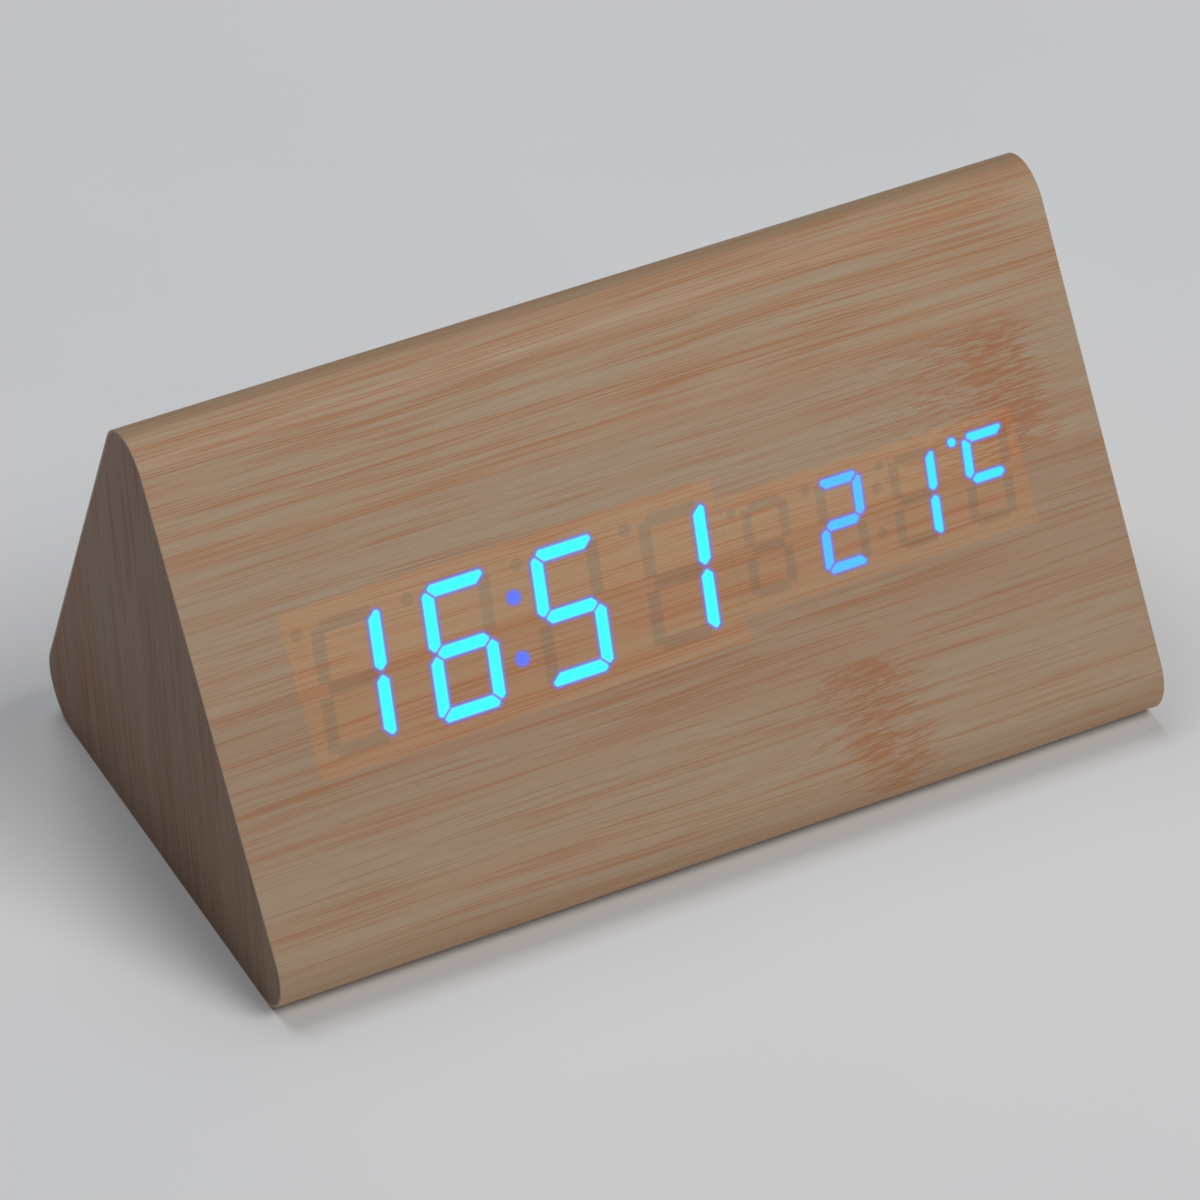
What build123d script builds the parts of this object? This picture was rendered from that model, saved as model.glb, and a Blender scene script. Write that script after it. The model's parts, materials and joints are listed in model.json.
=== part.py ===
from build123d import *
import os
from dataclasses import dataclass
from math import atan2, cos, radians, sin, tan

# Wooden LED alarm clock: a rounded triangular prism of film-covered fibreboard, with two seven-segment
# displays that shine through the front film, three keys and a power socket at the back, and a battery
# bay in the base. Millimetres. X runs along the case, -Y is the display side, Z is up, and the origin
# is the middle of the base, on the surface that the clock stands on.

# Case
CASE_LENGTH = 150.0
CASE_DEPTH = 89.6
CASE_HEIGHT = 79.6
EDGE_RADIUS = 7.6
FILM = 0.4
WALL = 8.0
END_PANEL = 5.0
END_LIP = 3.0
GLUE_GAP = 0.1

# Displays: two blocks side by side, from a margin at the left end to a margin at the right end
DISPLAY_DROP = 0.7
DISPLAY_LEFT_MARGIN = 14.4
DISPLAY_RIGHT_MARGIN = 13.9
DISPLAY_GAP = 0.35
TIME_SHARE = 0.5875
PITCH_SHARE = 0.2515
DIGIT_WIDTH_SHARE = 0.622
DOT_REACH_SHARE = 0.7
WINDOW_CLEAR = 0.15
SEGMENT_BACKING = 1.6
DIGIT_SLANT = 7.2
BAR_GAP = 0.14
TIP_SHARE = 0.33
DOT_FIT = 0.05

# Circuit boards and what they carry
BOARD = 1.6
BOARD_END_GAP = 2.6
DISPLAY_BOARD_HEIGHT = 36.0
CONTROL_BOARD_LENGTH = 80.0
CONTROL_BOARD_HEIGHT = 17.0
PIN = 0.5
PIN_PITCH = 2.54
PINS_PER_ROW = 6
PIN_ROW_INSET = 3.0
PIN_STAND_OUT = 1.4
PIN_HOLE_CLEAR = 0.1
CHIP_LENGTH = 18.0
CHIP_WIDTH = 7.5
CHIP_HEIGHT = 2.4
CHIP_LEGS = 14
LEG_PITCH = 1.27
LEG_REACH = 1.4
LEG_WIDTH = 0.4
LEG_THICK = 0.25
CRYSTAL_RADIUS = 1.5
CRYSTAL_LENGTH = 8.0
CRYSTAL_STEP = 10.0
COIN_RADIUS = 10.0
COIN_HEIGHT = 3.2
COIN_HOLDER_WALL = 1.4
COIN_HOLDER_FLOOR = 1.2
COIN_FIT = 0.15
COIN_END = 13.5
BUZZER_RADIUS = 6.0
BUZZER_HEIGHT = 8.5
BUZZER_PORT = 1.0
BUZZER_END = 11.0
MICROPHONE_RADIUS = 3.0
MICROPHONE_HEIGHT = 4.5
MICROPHONE_PLACE = (-13.0, 0.0)
SENSOR_RADIUS = 1.2
SENSOR_LEG = 0.4

# Control panel, keys and power socket, on the back
PANEL_LENGTH = 66.0
PANEL_HEIGHT = 18.0
PANEL = 2.0
PANEL_RECESS = 1.0
PANEL_CORNER = 3.0
PANEL_FIT = 0.2
MOULD_ROUND = 0.3
PANEL_RISE = 19.6
KEY_WINDOW_LENGTH = 50.0
KEY_WINDOW_HEIGHT = 11.0
KEY_RADIUS = 3.2
KEY_CLEAR = 0.15
KEY_PROUD = 0.8
KEY_FLANGE = 1.0
KEY_FLANGE_THICK = 0.8
KEY_PITCH = 12.0
KEY_MIDDLE = -6.0
KEY_TRAVEL = 0.4
KEY_PLAY = 0.05
KEY_ROUND = 0.5
SWITCH_SIDE = 6.0
SWITCH_HEIGHT = 3.4
PLUNGER_RADIUS = 1.7
PLUNGER_CLEAR = 0.05
PLUNGER_SEAT = 0.8
JACK_PLACE = 20.0
JACK_BORE = 3.6
JACK_NOSE = 6.4
JACK_FLANGE = 9.0
JACK_FLANGE_THICK = 1.0
JACK_BODY = 7.0
JACK_DEPTH = 11.0
JACK_BORE_DEPTH = 9.0
JACK_PIN = 1.3
JACK_PIN_SHORT = 0.8
JACK_HOLE_CLEAR = 0.3
SENSOR_PLACE = 12.9

# Battery bay, in the base
CELL_DIAMETER = 10.5
CELL_LENGTH = 44.5
CELL_NUB = 1.0
CELL_NUB_DIAMETER = 3.8
CELL_COUNT = 4
CELL_GAP = 0.4
CELL_HEADROOM = 0.5
SPRING_ROOM = 3.0
CONTACT = 0.4
CONTACT_HEIGHT = 9.0
LEAF = 0.3
LEAF_WIDTH = 6.0
LEAF_SPAN = 7.2
LEAF_GAP = 0.05
TRAY_WALL = 3.0
TRAY_ROOF = 1.6
TRAY_LEDGE = 1.5
TRAY_END_FLANGE = 7.0
TRAY_SIDE_FLANGE = 2.6
TRAY_FLANGE_THICK = 2.4
TRAY_LIFT = 0.5
TRAY_FIT = 0.2
DOOR = 2.2
DOOR_CLEAR = 0.3
DOOR_SEAT_GAP = 0.1
HINGE_PIN_RADIUS = 0.6
HINGE_PIN_LENGTH = 1.6
HINGE_PIN_CLEAR = 0.05
THUMB_RADIUS = 7.0
THUMB_DEPTH = 1.0
THUMB_RIBS = 3
THUMB_RIB = 0.7
THUMB_RIB_PITCH = 1.8

# Screws, wires and the flat cable
SCREW_SHANK = 1.0
SCREW_HEAD = 2.0
SCREW_HEAD_THICK = 1.3
SCREW_LENGTH = 5.0
SCREW_CLEAR = 0.05
SCREW_SLOT = 0.5
SCREW_SLOT_DEPTH = 0.6
BOARD_SCREW_INSET = 3.0
TRAY_SCREW_INSET = 3.4
TRAY_SCREW_SPACING = 34.0
CONNECTOR_LENGTH = 15.0
CONNECTOR_WIDTH = 5.0
CONNECTOR_HEIGHT = 4.0
DISPLAY_CONNECTOR_PLACE = (0.5, 0.0)
CONTROL_CONNECTOR_PLACE = (-0.5, 2.0)
CABLE_WIDTH = 12.0
CABLE = 0.8
CABLE_RISE = 11.0
LEAD_RADIUS = 0.7
LEAD_RISE = 7.0
LEAD_COUNT = 2
LEAD_END = 3.0
LEAD_PITCH = 4.0
LEAD_STEP = 9.0
BEND_SHARE = 0.45


@dataclass
class Display:
    """One display block: its outline, its digits and what it shows."""

    left: float
    length: float
    height: float
    digit_height: float
    bar: float
    dot_radius: float
    dot_rise: float
    colon_radius: float
    colon_rise: float
    shown: str
    lit_dots: tuple
    colon_lit: bool

    @property
    def centre(self):
        return self.left + self.length / 2

    @property
    def pitch(self):
        return PITCH_SHARE * self.length

    @property
    def digit_width(self):
        return DIGIT_WIDTH_SHARE * self.pitch


DISPLAY_ROOM = CASE_LENGTH - DISPLAY_LEFT_MARGIN - DISPLAY_RIGHT_MARGIN - DISPLAY_GAP
TIME = Display(left=DISPLAY_LEFT_MARGIN - CASE_LENGTH / 2, length=TIME_SHARE * DISPLAY_ROOM, height=25.8,
               digit_height=20.7, bar=2.05, dot_radius=1.0, dot_rise=9.2, colon_radius=1.2, colon_rise=4.6,
               shown="1651", lit_dots=(), colon_lit=True)
TEMPERATURE = Display(left=TIME.left + TIME.length + DISPLAY_GAP, length=(1 - TIME_SHARE) * DISPLAY_ROOM,
                      height=18.5, digit_height=14.4, bar=1.6, dot_radius=0.8, dot_rise=6.5,
                      colon_radius=0.85, colon_rise=3.4, shown=" 21c", lit_dots=(3,), colon_lit=False)
BARS_LIT = {" ": "", "1": "bc", "2": "abdeg", "5": "acdfg", "6": "acdefg", "c": "afg"}

# Worked out from the case: the centres of the edge rounds, and the slope and flat width of front and back
HALF_BASE = CASE_DEPTH / 2 - EDGE_RADIUS
APEX = CASE_HEIGHT - EDGE_RADIUS
SLOPE = atan2(APEX - EDGE_RADIUS, HALF_BASE)
FLAT = (APEX - EDGE_RADIUS) / sin(SLOPE)
SKIN = FILM + WALL
DISPLAY_BOARD_LENGTH = CASE_LENGTH - 2 * (FILM + END_PANEL + BOARD_END_GAP)


def face_plane(side):
    """The outer face of the front (side -1) or the back (side 1), with its origin at the face's middle."""
    normal = (0, side * sin(SLOPE), cos(SLOPE))
    middle = (0, side * (HALF_BASE / 2 + EDGE_RADIUS * sin(SLOPE)),
              (EDGE_RADIUS + APEX) / 2 + EDGE_RADIUS * cos(SLOPE))
    return Plane(origin=middle, x_dir=(-side, 0, 0), z_dir=normal)


FRONT = face_plane(-1)
BACK = face_plane(1)
PANEL_FRAME = BACK * Pos(0, PANEL_RISE - FLAT / 2, 0)
DISPLAY_FRAME = FRONT * Pos(0, -DISPLAY_DROP, 0)


def prism(inset, length, start):
    """The case's rounded triangle, drawn in by inset all round, over a length of X."""
    centres = Polygon((-HALF_BASE, EDGE_RADIUS), (HALF_BASE, EDGE_RADIUS), (0, APEX), align=None)
    reach = EDGE_RADIUS - inset
    outline = offset(centres, reach, kind=Kind.ARC) if reach else centres
    return Pos(start, 0, 0) * extrude(Plane.YZ * outline, amount=length)


def block(length, width, height, top=0.0):
    """A box whose upper face is at height top, over its origin."""
    return Pos(0, 0, top) * Box(length, width, height, align=(Align.CENTER, Align.CENTER, Align.MAX))


def disc(radius, height, top=0.0):
    """A cylinder whose upper face is at height top, over its origin."""
    return Pos(0, 0, top) * Cylinder(radius, height, align=(Align.CENTER, Align.CENTER, Align.MAX))


def rounded_block(length, width, height, corner, top=0.0):
    """A box with rounded upright edges."""
    outline = RectangleRounded(length, width, corner)
    return Pos(0, 0, top - height) * extrude(outline, amount=height)


def group(solids):
    """Separate solids that share one node."""
    return Compound(children=list(solids))


def save(name, shape):
    export_step(shape, os.path.join("parts", name + ".step"))


# Screws and their holes
def screw(head_top):
    """A countersunk wood screw that points down, its flat cross-slotted head level with head_top."""
    cone = Cone(SCREW_SHANK, SCREW_HEAD, SCREW_HEAD_THICK, align=(Align.CENTER, Align.CENTER, Align.MAX))
    shank = disc(SCREW_SHANK, SCREW_LENGTH, -SCREW_HEAD_THICK)
    slots = [block(2 * SCREW_SHANK, SCREW_SLOT, SCREW_SLOT_DEPTH),
             block(SCREW_SLOT, 2 * SCREW_SHANK, SCREW_SLOT_DEPTH)]
    return Pos(0, 0, head_top) * (cone + shank - slots)


def screw_seat(head_top):
    """The hole that a countersunk screw needs in what it holds and in what it bites."""
    cone = Cone(SCREW_SHANK + SCREW_CLEAR, SCREW_HEAD + SCREW_CLEAR, SCREW_HEAD_THICK,
                align=(Align.CENTER, Align.CENTER, Align.MAX))
    return Pos(0, 0, head_top) * (cone + disc(SCREW_SHANK + SCREW_CLEAR, SCREW_LENGTH + SCREW_HEAD_THICK
                                              + SCREW_CLEAR))


def board_screw():
    """A pan-head screw that points up into the wall, its head bearing on a board's inner face."""
    head = disc(SCREW_HEAD, SCREW_HEAD_THICK, -SKIN - BOARD)
    shank = disc(SCREW_SHANK, BOARD + SCREW_LENGTH, -SKIN + SCREW_LENGTH)
    slots = [Pos(0, 0, -SKIN - BOARD - SCREW_HEAD_THICK + SCREW_SLOT_DEPTH) * slot
             for slot in (block(2 * SCREW_SHANK, SCREW_SLOT, SCREW_SLOT_DEPTH),
                          block(SCREW_SLOT, 2 * SCREW_SHANK, SCREW_SLOT_DEPTH))]
    return head + shank - slots


def board_screw_hole():
    """The hole that a board screw needs through the board and into the wall."""
    reach = BOARD + SCREW_LENGTH + SCREW_CLEAR
    return disc(SCREW_SHANK + SCREW_CLEAR, reach, -SKIN + SCREW_LENGTH + SCREW_CLEAR)


DISPLAY_SCREWS = [DISPLAY_FRAME * Pos(x * (DISPLAY_BOARD_LENGTH / 2 - BOARD_SCREW_INSET),
                                      y * (DISPLAY_BOARD_HEIGHT / 2 - BOARD_SCREW_INSET), 0)
                  for x in (-1, 1) for y in (-1, 1)]
CONTROL_SCREWS = [PANEL_FRAME * Pos(x * (CONTROL_BOARD_LENGTH / 2 - BOARD_SCREW_INSET), 0, 0)
                  for x in (-1, 1)]
PANEL_SCREW_PLACE = (PANEL_LENGTH + KEY_WINDOW_LENGTH) / 4
PANEL_SCREWS = [PANEL_FRAME * Pos(x * PANEL_SCREW_PLACE, 0, 0) for x in (-1, 1)]

# Battery bay levels and outlines, worked out from the cells
BAY_LENGTH = CELL_LENGTH + SPRING_ROOM + 2 * CONTACT
BAY_WIDTH = CELL_COUNT * (CELL_DIAMETER + CELL_GAP) + CELL_GAP
MOUTH_LENGTH = BAY_LENGTH + 2 * TRAY_LEDGE
MOUTH_WIDTH = BAY_WIDTH + 2 * TRAY_LEDGE
TRAY_LENGTH = BAY_LENGTH + 2 * TRAY_WALL
TRAY_WIDTH = BAY_WIDTH + 2 * TRAY_WALL
FLANGE_LENGTH = MOUTH_LENGTH + 2 * TRAY_END_FLANGE
FLANGE_WIDTH = MOUTH_WIDTH + 2 * TRAY_SIDE_FLANGE
LEDGE = TRAY_LIFT + DOOR + DOOR_SEAT_GAP
BAY_TOP = LEDGE + CELL_DIAMETER + 2 * CELL_HEADROOM
TRAY_TOP = BAY_TOP + TRAY_ROOF
CELL_LEVEL = LEDGE + CELL_HEADROOM + CELL_DIAMETER / 2
HINGE_PLACE = -MOUTH_LENGTH / 2 + DOOR_CLEAR + DOOR / 2
HINGE_LEVEL = TRAY_LIFT + DOOR / 2
FLIP = Rot(180, 0, 0)
TRAY_SCREWS = [Pos(x * (FLANGE_LENGTH / 2 - TRAY_SCREW_INSET), y * TRAY_SCREW_SPACING / 2, TRAY_LIFT) * FLIP
               for x in (-1, 1) for y in (-1, 1)]


def tray_flange(clear, bottom):
    """The flange's outline, grown by clear, from the level bottom up to the flange's seat."""
    seat = TRAY_LIFT + TRAY_FLANGE_THICK
    length, width = FLANGE_LENGTH + 2 * clear, FLANGE_WIDTH + 2 * clear
    return rounded_block(length, width, seat - bottom, PANEL_CORNER + clear, seat)


def panel_outline(clear, top):
    """The control panel's outline, grown by clear, from the depth of its back up to the level top."""
    length, height = PANEL_LENGTH + 2 * clear, PANEL_HEIGHT + 2 * clear
    return rounded_block(length, height, top + PANEL_RECESS + PANEL, PANEL_CORNER + clear, top)


def display_window():
    """The stepped opening in the front wall that both display blocks stand in."""
    both = 2 * WINDOW_CLEAR
    return [DISPLAY_FRAME * Pos(d.centre, 0, 0) * block(d.length + both, d.height + both, 2 * SKIN, SKIN / 2)
            for d in (TIME, TEMPERATURE)]


# Case: core, end panels and films
def case_core():
    inner_length = CASE_LENGTH - 2 * FILM
    start = -inner_length / 2
    core = prism(FILM, inner_length, start) - prism(SKIN, inner_length, start)
    for end in (start, -start - END_PANEL):
        core -= prism(SKIN - END_LIP, END_PANEL, end)
    core -= display_window()
    core -= PANEL_FRAME * panel_outline(PANEL_FIT, PANEL_RECESS)
    core -= PANEL_FRAME * block(KEY_WINDOW_LENGTH, KEY_WINDOW_HEIGHT, 2 * SKIN)
    core -= tray_flange(TRAY_FIT, -FILM)
    core -= block(TRAY_LENGTH + 2 * TRAY_FIT, TRAY_WIDTH + 2 * TRAY_FIT, 2 * SKIN, 2 * SKIN)
    core -= [place * board_screw_hole() for place in DISPLAY_SCREWS + CONTROL_SCREWS]
    core -= [place * screw_seat(-PANEL_RECESS) for place in PANEL_SCREWS]
    core -= [place * screw_seat(0) for place in TRAY_SCREWS]
    return core


def wrap_film():
    """The printed film round the front, top and back, ending where the flat of the base begins."""
    film = prism(0, CASE_LENGTH, -CASE_LENGTH / 2) - prism(FILM, CASE_LENGTH, -CASE_LENGTH / 2)
    film -= block(CASE_LENGTH, 2 * HALF_BASE, 2 * FILM, FILM)
    return film - PANEL_FRAME * panel_outline(PANEL_FIT, PANEL_RECESS)


def base_film():
    return block(CASE_LENGTH, 2 * HALF_BASE, FILM, FILM) - tray_flange(TRAY_FIT, -FILM)


def end_panel(side):
    panel = prism(SKIN - END_LIP + GLUE_GAP, END_PANEL, -END_PANEL / 2)
    return Pos(side * (CASE_LENGTH / 2 - FILM - END_PANEL / 2), 0, 0) * panel


def end_film(side):
    return Pos(side * (CASE_LENGTH - FILM) / 2, 0, 0) * prism(FILM, FILM, -FILM / 2)


# Displays
def bar_corners(display, name):
    """Corners of one bar of an upright digit, about the digit's centre."""
    across, up, bar = display.digit_width / 2, display.digit_height / 2, display.bar
    tip = TIP_SHARE * bar
    left = -across + BAR_GAP
    end = [(left + bar, up - bar), (left + tip, up - tip), (left + 2 * tip, up)]
    top = end + [(-x, y) for x, y in reversed(end)]
    middle_end = [(left + bar, -bar / 2), (left + bar / 2, 0), (left + bar, bar / 2)]
    middle = middle_end + [(-x, y) for x, y in reversed(middle_end)]
    high = up - BAR_GAP
    upper_left = [(-across + bar, high - bar), (-across + tip, high - tip), (-across, high - 2 * tip),
                  (-across, bar / 2 + BAR_GAP), (-across + bar / 2, BAR_GAP),
                  (-across + bar, bar / 2 + BAR_GAP)]
    shape = {"a": top, "d": top, "g": middle}.get(name, upper_left)
    mirror_x = -1 if name in "bc" else 1
    mirror_y = -1 if name in "cde" else 1
    return [(mirror_x * x, mirror_y * y) for x, y in shape]


def slanted(point):
    return (point[0] + point[1] * tan(radians(DIGIT_SLANT)), point[1])


def display_lights(display):
    """Every bar and dot of a display as (solid, lit), filling the block's cavities."""
    depth = WALL - SEGMENT_BACKING
    frame = DISPLAY_FRAME * Pos(display.centre, 0, -FILM)
    lights = []
    for index, character in enumerate(display.shown):
        digit = frame * Pos((index - (len(display.shown) - 1) / 2) * display.pitch, 0, 0)
        for name in "abcdefg":
            outline = Polygon(*[slanted(p) for p in bar_corners(display, name)], align=None)
            bar = digit * extrude(outline, amount=depth, dir=(0, 0, -1))
            lights.append((bar, name in BARS_LIT[character]))
        dot_place = slanted((-DOT_REACH_SHARE * display.digit_width, display.dot_rise))
        dot = digit * Pos(*dot_place, 0) * disc(display.dot_radius, depth)
        lights.append((dot, index in display.lit_dots))
    for rise in (-display.colon_rise, display.colon_rise):
        dot = frame * Pos(*slanted((0, rise)), 0) * disc(display.colon_radius, depth)
        lights.append((dot, display.colon_lit))
    return lights


def display_housing(display, lights):
    housing = DISPLAY_FRAME * Pos(display.centre, 0, 0) * block(display.length, display.height, WALL, -FILM)
    return housing - [solid for solid, lit in lights]


def pin_places(display):
    row = display.height / 2 - PIN_ROW_INSET
    return [DISPLAY_FRAME * Pos(display.centre + (i - (PINS_PER_ROW - 1) / 2) * PIN_PITCH, y, -SKIN)
            for i in range(PINS_PER_ROW) for y in (-row, row)]


PIN_PLACES = pin_places(TIME) + pin_places(TEMPERATURE)


def display_board():
    board = DISPLAY_FRAME * block(DISPLAY_BOARD_LENGTH, DISPLAY_BOARD_HEIGHT, BOARD, -SKIN)
    hole = PIN + 2 * PIN_HOLE_CLEAR
    board -= [place * block(hole, hole, 3 * BOARD, BOARD) for place in PIN_PLACES]
    return board - [place * board_screw_hole() for place in DISPLAY_SCREWS]


# Parts on the inner faces of the boards, each at a place along and up its board
CHIP_PLACE = (TEMPERATURE.centre, 0.0)
CRYSTAL_PLACE = (TIME.centre + CRYSTAL_STEP, 0.0)
COIN_PLACE = (COIN_END - DISPLAY_BOARD_LENGTH / 2, 0.0)
BUZZER_PLACE = (DISPLAY_BOARD_LENGTH / 2 - BUZZER_END, 0.0)

def on_display_board(place):
    """A frame on the display board's inner face, pointing into the case."""
    return DISPLAY_FRAME * Pos(*place, -SKIN - BOARD) * FLIP


def on_control_board(place):
    """A frame on the control board's inner face, pointing into the case."""
    return PANEL_FRAME * Pos(*place, -SKIN - BOARD) * FLIP


def controller_chip():
    frame = on_display_board(CHIP_PLACE)
    body = block(CHIP_LENGTH, CHIP_WIDTH, CHIP_HEIGHT - LEG_THICK, CHIP_HEIGHT)
    for index in range(CHIP_LEGS):
        leg = block(LEG_WIDTH, CHIP_WIDTH + 2 * LEG_REACH, LEG_THICK, LEG_THICK)
        body += Pos((index - (CHIP_LEGS - 1) / 2) * LEG_PITCH, 0, 0) * leg
    return frame * body


def clock_crystal():
    lying = Pos(0, 0, CRYSTAL_RADIUS) * Rot(90, 0, 0) * Cylinder(CRYSTAL_RADIUS, CRYSTAL_LENGTH)
    return on_display_board(CRYSTAL_PLACE) * lying


def backup_cell_holder():
    outer = COIN_RADIUS + COIN_FIT + COIN_HOLDER_WALL
    ring = disc(outer, COIN_HOLDER_FLOOR + COIN_HEIGHT, COIN_HOLDER_FLOOR + COIN_HEIGHT)
    ring -= disc(COIN_RADIUS + COIN_FIT, COIN_HEIGHT, COIN_HOLDER_FLOOR + COIN_HEIGHT)
    ring -= Pos(0, outer, COIN_HOLDER_FLOOR) * Box(COIN_RADIUS, 2 * COIN_HOLDER_WALL + outer, 2 * COIN_HEIGHT,
                                                   align=(Align.CENTER, Align.CENTER, Align.MIN))
    return on_display_board(COIN_PLACE) * ring


def backup_cell():
    return on_display_board(COIN_PLACE) * disc(COIN_RADIUS, COIN_HEIGHT, COIN_HOLDER_FLOOR + COIN_HEIGHT)


def connectors():
    plug = block(CONNECTOR_LENGTH, CONNECTOR_WIDTH, CONNECTOR_HEIGHT, CONNECTOR_HEIGHT)
    frames = [on_display_board(DISPLAY_CONNECTOR_PLACE), on_control_board(CONTROL_CONNECTOR_PLACE)]
    return group(frame * plug for frame in frames)


def bend_radii(points):
    """The largest even bends for a route: a share of the shorter run at each corner."""
    radii = []
    for before, at, after in zip(points, points[1:], points[2:]):
        arriving, leaving = Vector(*at) - Vector(*before), Vector(*after) - Vector(*at)
        turn = radians(arriving.get_angle(leaving))
        radii.append(BEND_SHARE * min(arriving.length, leaving.length) / tan(turn / 2))
    return radii


def route(points, profile):
    """A profile carried along straight runs joined by tangent arcs."""
    path = FilletPolyline(*points, radius=bend_radii(points))
    start = Plane(origin=path @ 0, x_dir=(1, 0, 0), z_dir=path % 0)
    return sweep(start * profile, path=path)


def place_of(frame, height):
    """The point at a height over a frame's origin."""
    return tuple((frame * Pos(0, 0, height)).position)


def flat_cable():
    """The flat cable from the display board to the control board, in one plane across the case."""
    ends = [on_display_board(DISPLAY_CONNECTOR_PLACE), on_control_board(CONTROL_CONNECTOR_PLACE)]
    near, far = [[place_of(end, CONNECTOR_HEIGHT + rise) for rise in (0, CABLE_RISE)] for end in ends]
    return route([near[0], near[1], far[1], far[0]], Rectangle(CABLE_WIDTH, CABLE))


# Keys, switches, socket and the plate that they stand in
KEY_ORDER = (("set", -1), ("up", 0), ("down", 1))
KEY_PLACES = {name: KEY_MIDDLE + step * KEY_PITCH for name, step in KEY_ORDER}
KEY_BASE = PANEL_RECESS + PANEL + KEY_PLAY + KEY_FLANGE_THICK


def control_panel():
    panel = panel_outline(0, -PANEL_RECESS)
    panel -= [Pos(x, 0, 0) * disc(KEY_RADIUS + KEY_CLEAR, 2 * KEY_BASE) for x in KEY_PLACES.values()]
    panel -= Pos(JACK_PLACE, 0, 0) * disc(JACK_BORE / 2 + JACK_HOLE_CLEAR, 2 * KEY_BASE)
    panel = PANEL_FRAME * fillet(panel.edges().group_by(Axis.Z)[-1], MOULD_ROUND)
    return panel - [place * screw_seat(-PANEL_RECESS) for place in PANEL_SCREWS]


def key_cap(place):
    cap = disc(KEY_RADIUS, KEY_BASE - PANEL_RECESS + KEY_PROUD, KEY_PROUD - PANEL_RECESS)
    cap = fillet(cap.edges().group_by(Axis.Z)[-1], KEY_ROUND)
    cap += disc(KEY_RADIUS + KEY_FLANGE, KEY_FLANGE_THICK, KEY_FLANGE_THICK - KEY_BASE)
    return PANEL_FRAME * Pos(place, 0, 0) * cap


def key_plunger(place):
    length = SKIN - SWITCH_HEIGHT + PLUNGER_SEAT - KEY_BASE
    return PANEL_FRAME * Pos(place, 0, 0) * disc(PLUNGER_RADIUS, length, -KEY_BASE)


def key_switch(place):
    body = block(SWITCH_SIDE, SWITCH_SIDE, SWITCH_HEIGHT, SWITCH_HEIGHT)
    body -= disc(PLUNGER_RADIUS + PLUNGER_CLEAR, PLUNGER_SEAT + KEY_TRAVEL + KEY_CLEAR, SWITCH_HEIGHT)
    legs = block(SWITCH_SIDE + 2 * LEG_REACH, 2 * LEG_WIDTH, LEG_THICK, LEG_THICK)
    body += [Pos(0, y * SWITCH_SIDE / 4, 0) * legs for y in (-1, 1)]
    return PANEL_FRAME * Pos(place, 0, -SKIN) * body


def control_board():
    board = PANEL_FRAME * block(CONTROL_BOARD_LENGTH, CONTROL_BOARD_HEIGHT, BOARD, -SKIN)
    notch = JACK_BODY + 2 * JACK_HOLE_CLEAR
    board -= PANEL_FRAME * Pos(JACK_PLACE, 0, 0) * block(notch, notch, 2 * SKIN)
    return board - [place * board_screw_hole() for place in CONTROL_SCREWS]


def power_jack():
    front = PANEL_RECESS + PANEL
    body = disc(JACK_NOSE / 2, SKIN - front, -front)
    body += block(JACK_FLANGE, JACK_FLANGE, JACK_FLANGE_THICK, JACK_FLANGE_THICK - SKIN)
    body += block(JACK_BODY, JACK_BODY, front + JACK_DEPTH - SKIN, -SKIN)
    body -= disc(JACK_BORE / 2, JACK_BORE_DEPTH, -front)
    return PANEL_FRAME * Pos(JACK_PLACE, 0, 0) * body


def power_jack_pin():
    tip = PANEL_RECESS + PANEL + JACK_PIN_SHORT
    return PANEL_FRAME * Pos(JACK_PLACE, 0, 0) * disc(JACK_PIN / 2, JACK_BORE_DEPTH - JACK_PIN_SHORT, -tip)


def temperature_sensor():
    """A bead on two stiff legs, in the key window beside the socket."""
    level = SWITCH_HEIGHT / 2
    bead = Pos(0, 0, level) * Sphere(SENSOR_RADIUS)
    for y in (-1, 1):
        bead += Pos(0, y * SENSOR_RADIUS / 2, 0) * block(SENSOR_LEG, SENSOR_LEG, level, level)
    return PANEL_FRAME * Pos(SENSOR_PLACE, 0, -SKIN) * bead


def buzzer():
    body = disc(BUZZER_RADIUS, BUZZER_HEIGHT, BUZZER_HEIGHT)
    body -= disc(BUZZER_PORT, BUZZER_HEIGHT / 2, BUZZER_HEIGHT)
    return on_display_board(BUZZER_PLACE) * body


def microphone():
    can = disc(MICROPHONE_RADIUS, MICROPHONE_HEIGHT, MICROPHONE_HEIGHT)
    return on_control_board(MICROPHONE_PLACE) * can


# Battery bay
def battery_tray():
    tray = tray_flange(0, TRAY_LIFT)
    tray = fillet(tray.edges().group_by(Axis.Z)[0], MOULD_ROUND)
    tray += block(TRAY_LENGTH, TRAY_WIDTH, TRAY_TOP - TRAY_LIFT, TRAY_TOP)
    tray -= block(MOUTH_LENGTH, MOUTH_WIDTH, LEDGE - TRAY_LIFT, LEDGE)
    tray -= block(BAY_LENGTH, BAY_WIDTH, BAY_TOP - LEDGE, BAY_TOP)
    pins_apart = MOUTH_WIDTH - 2 * DOOR_CLEAR + 2 * HINGE_PIN_LENGTH
    bore = Cylinder(HINGE_PIN_RADIUS + HINGE_PIN_CLEAR, pins_apart + HINGE_PIN_CLEAR)
    tray -= Pos(HINGE_PLACE, 0, HINGE_LEVEL) * Rot(90, 0, 0) * bore
    return tray - [place * screw_seat(0) for place in TRAY_SCREWS]


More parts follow.
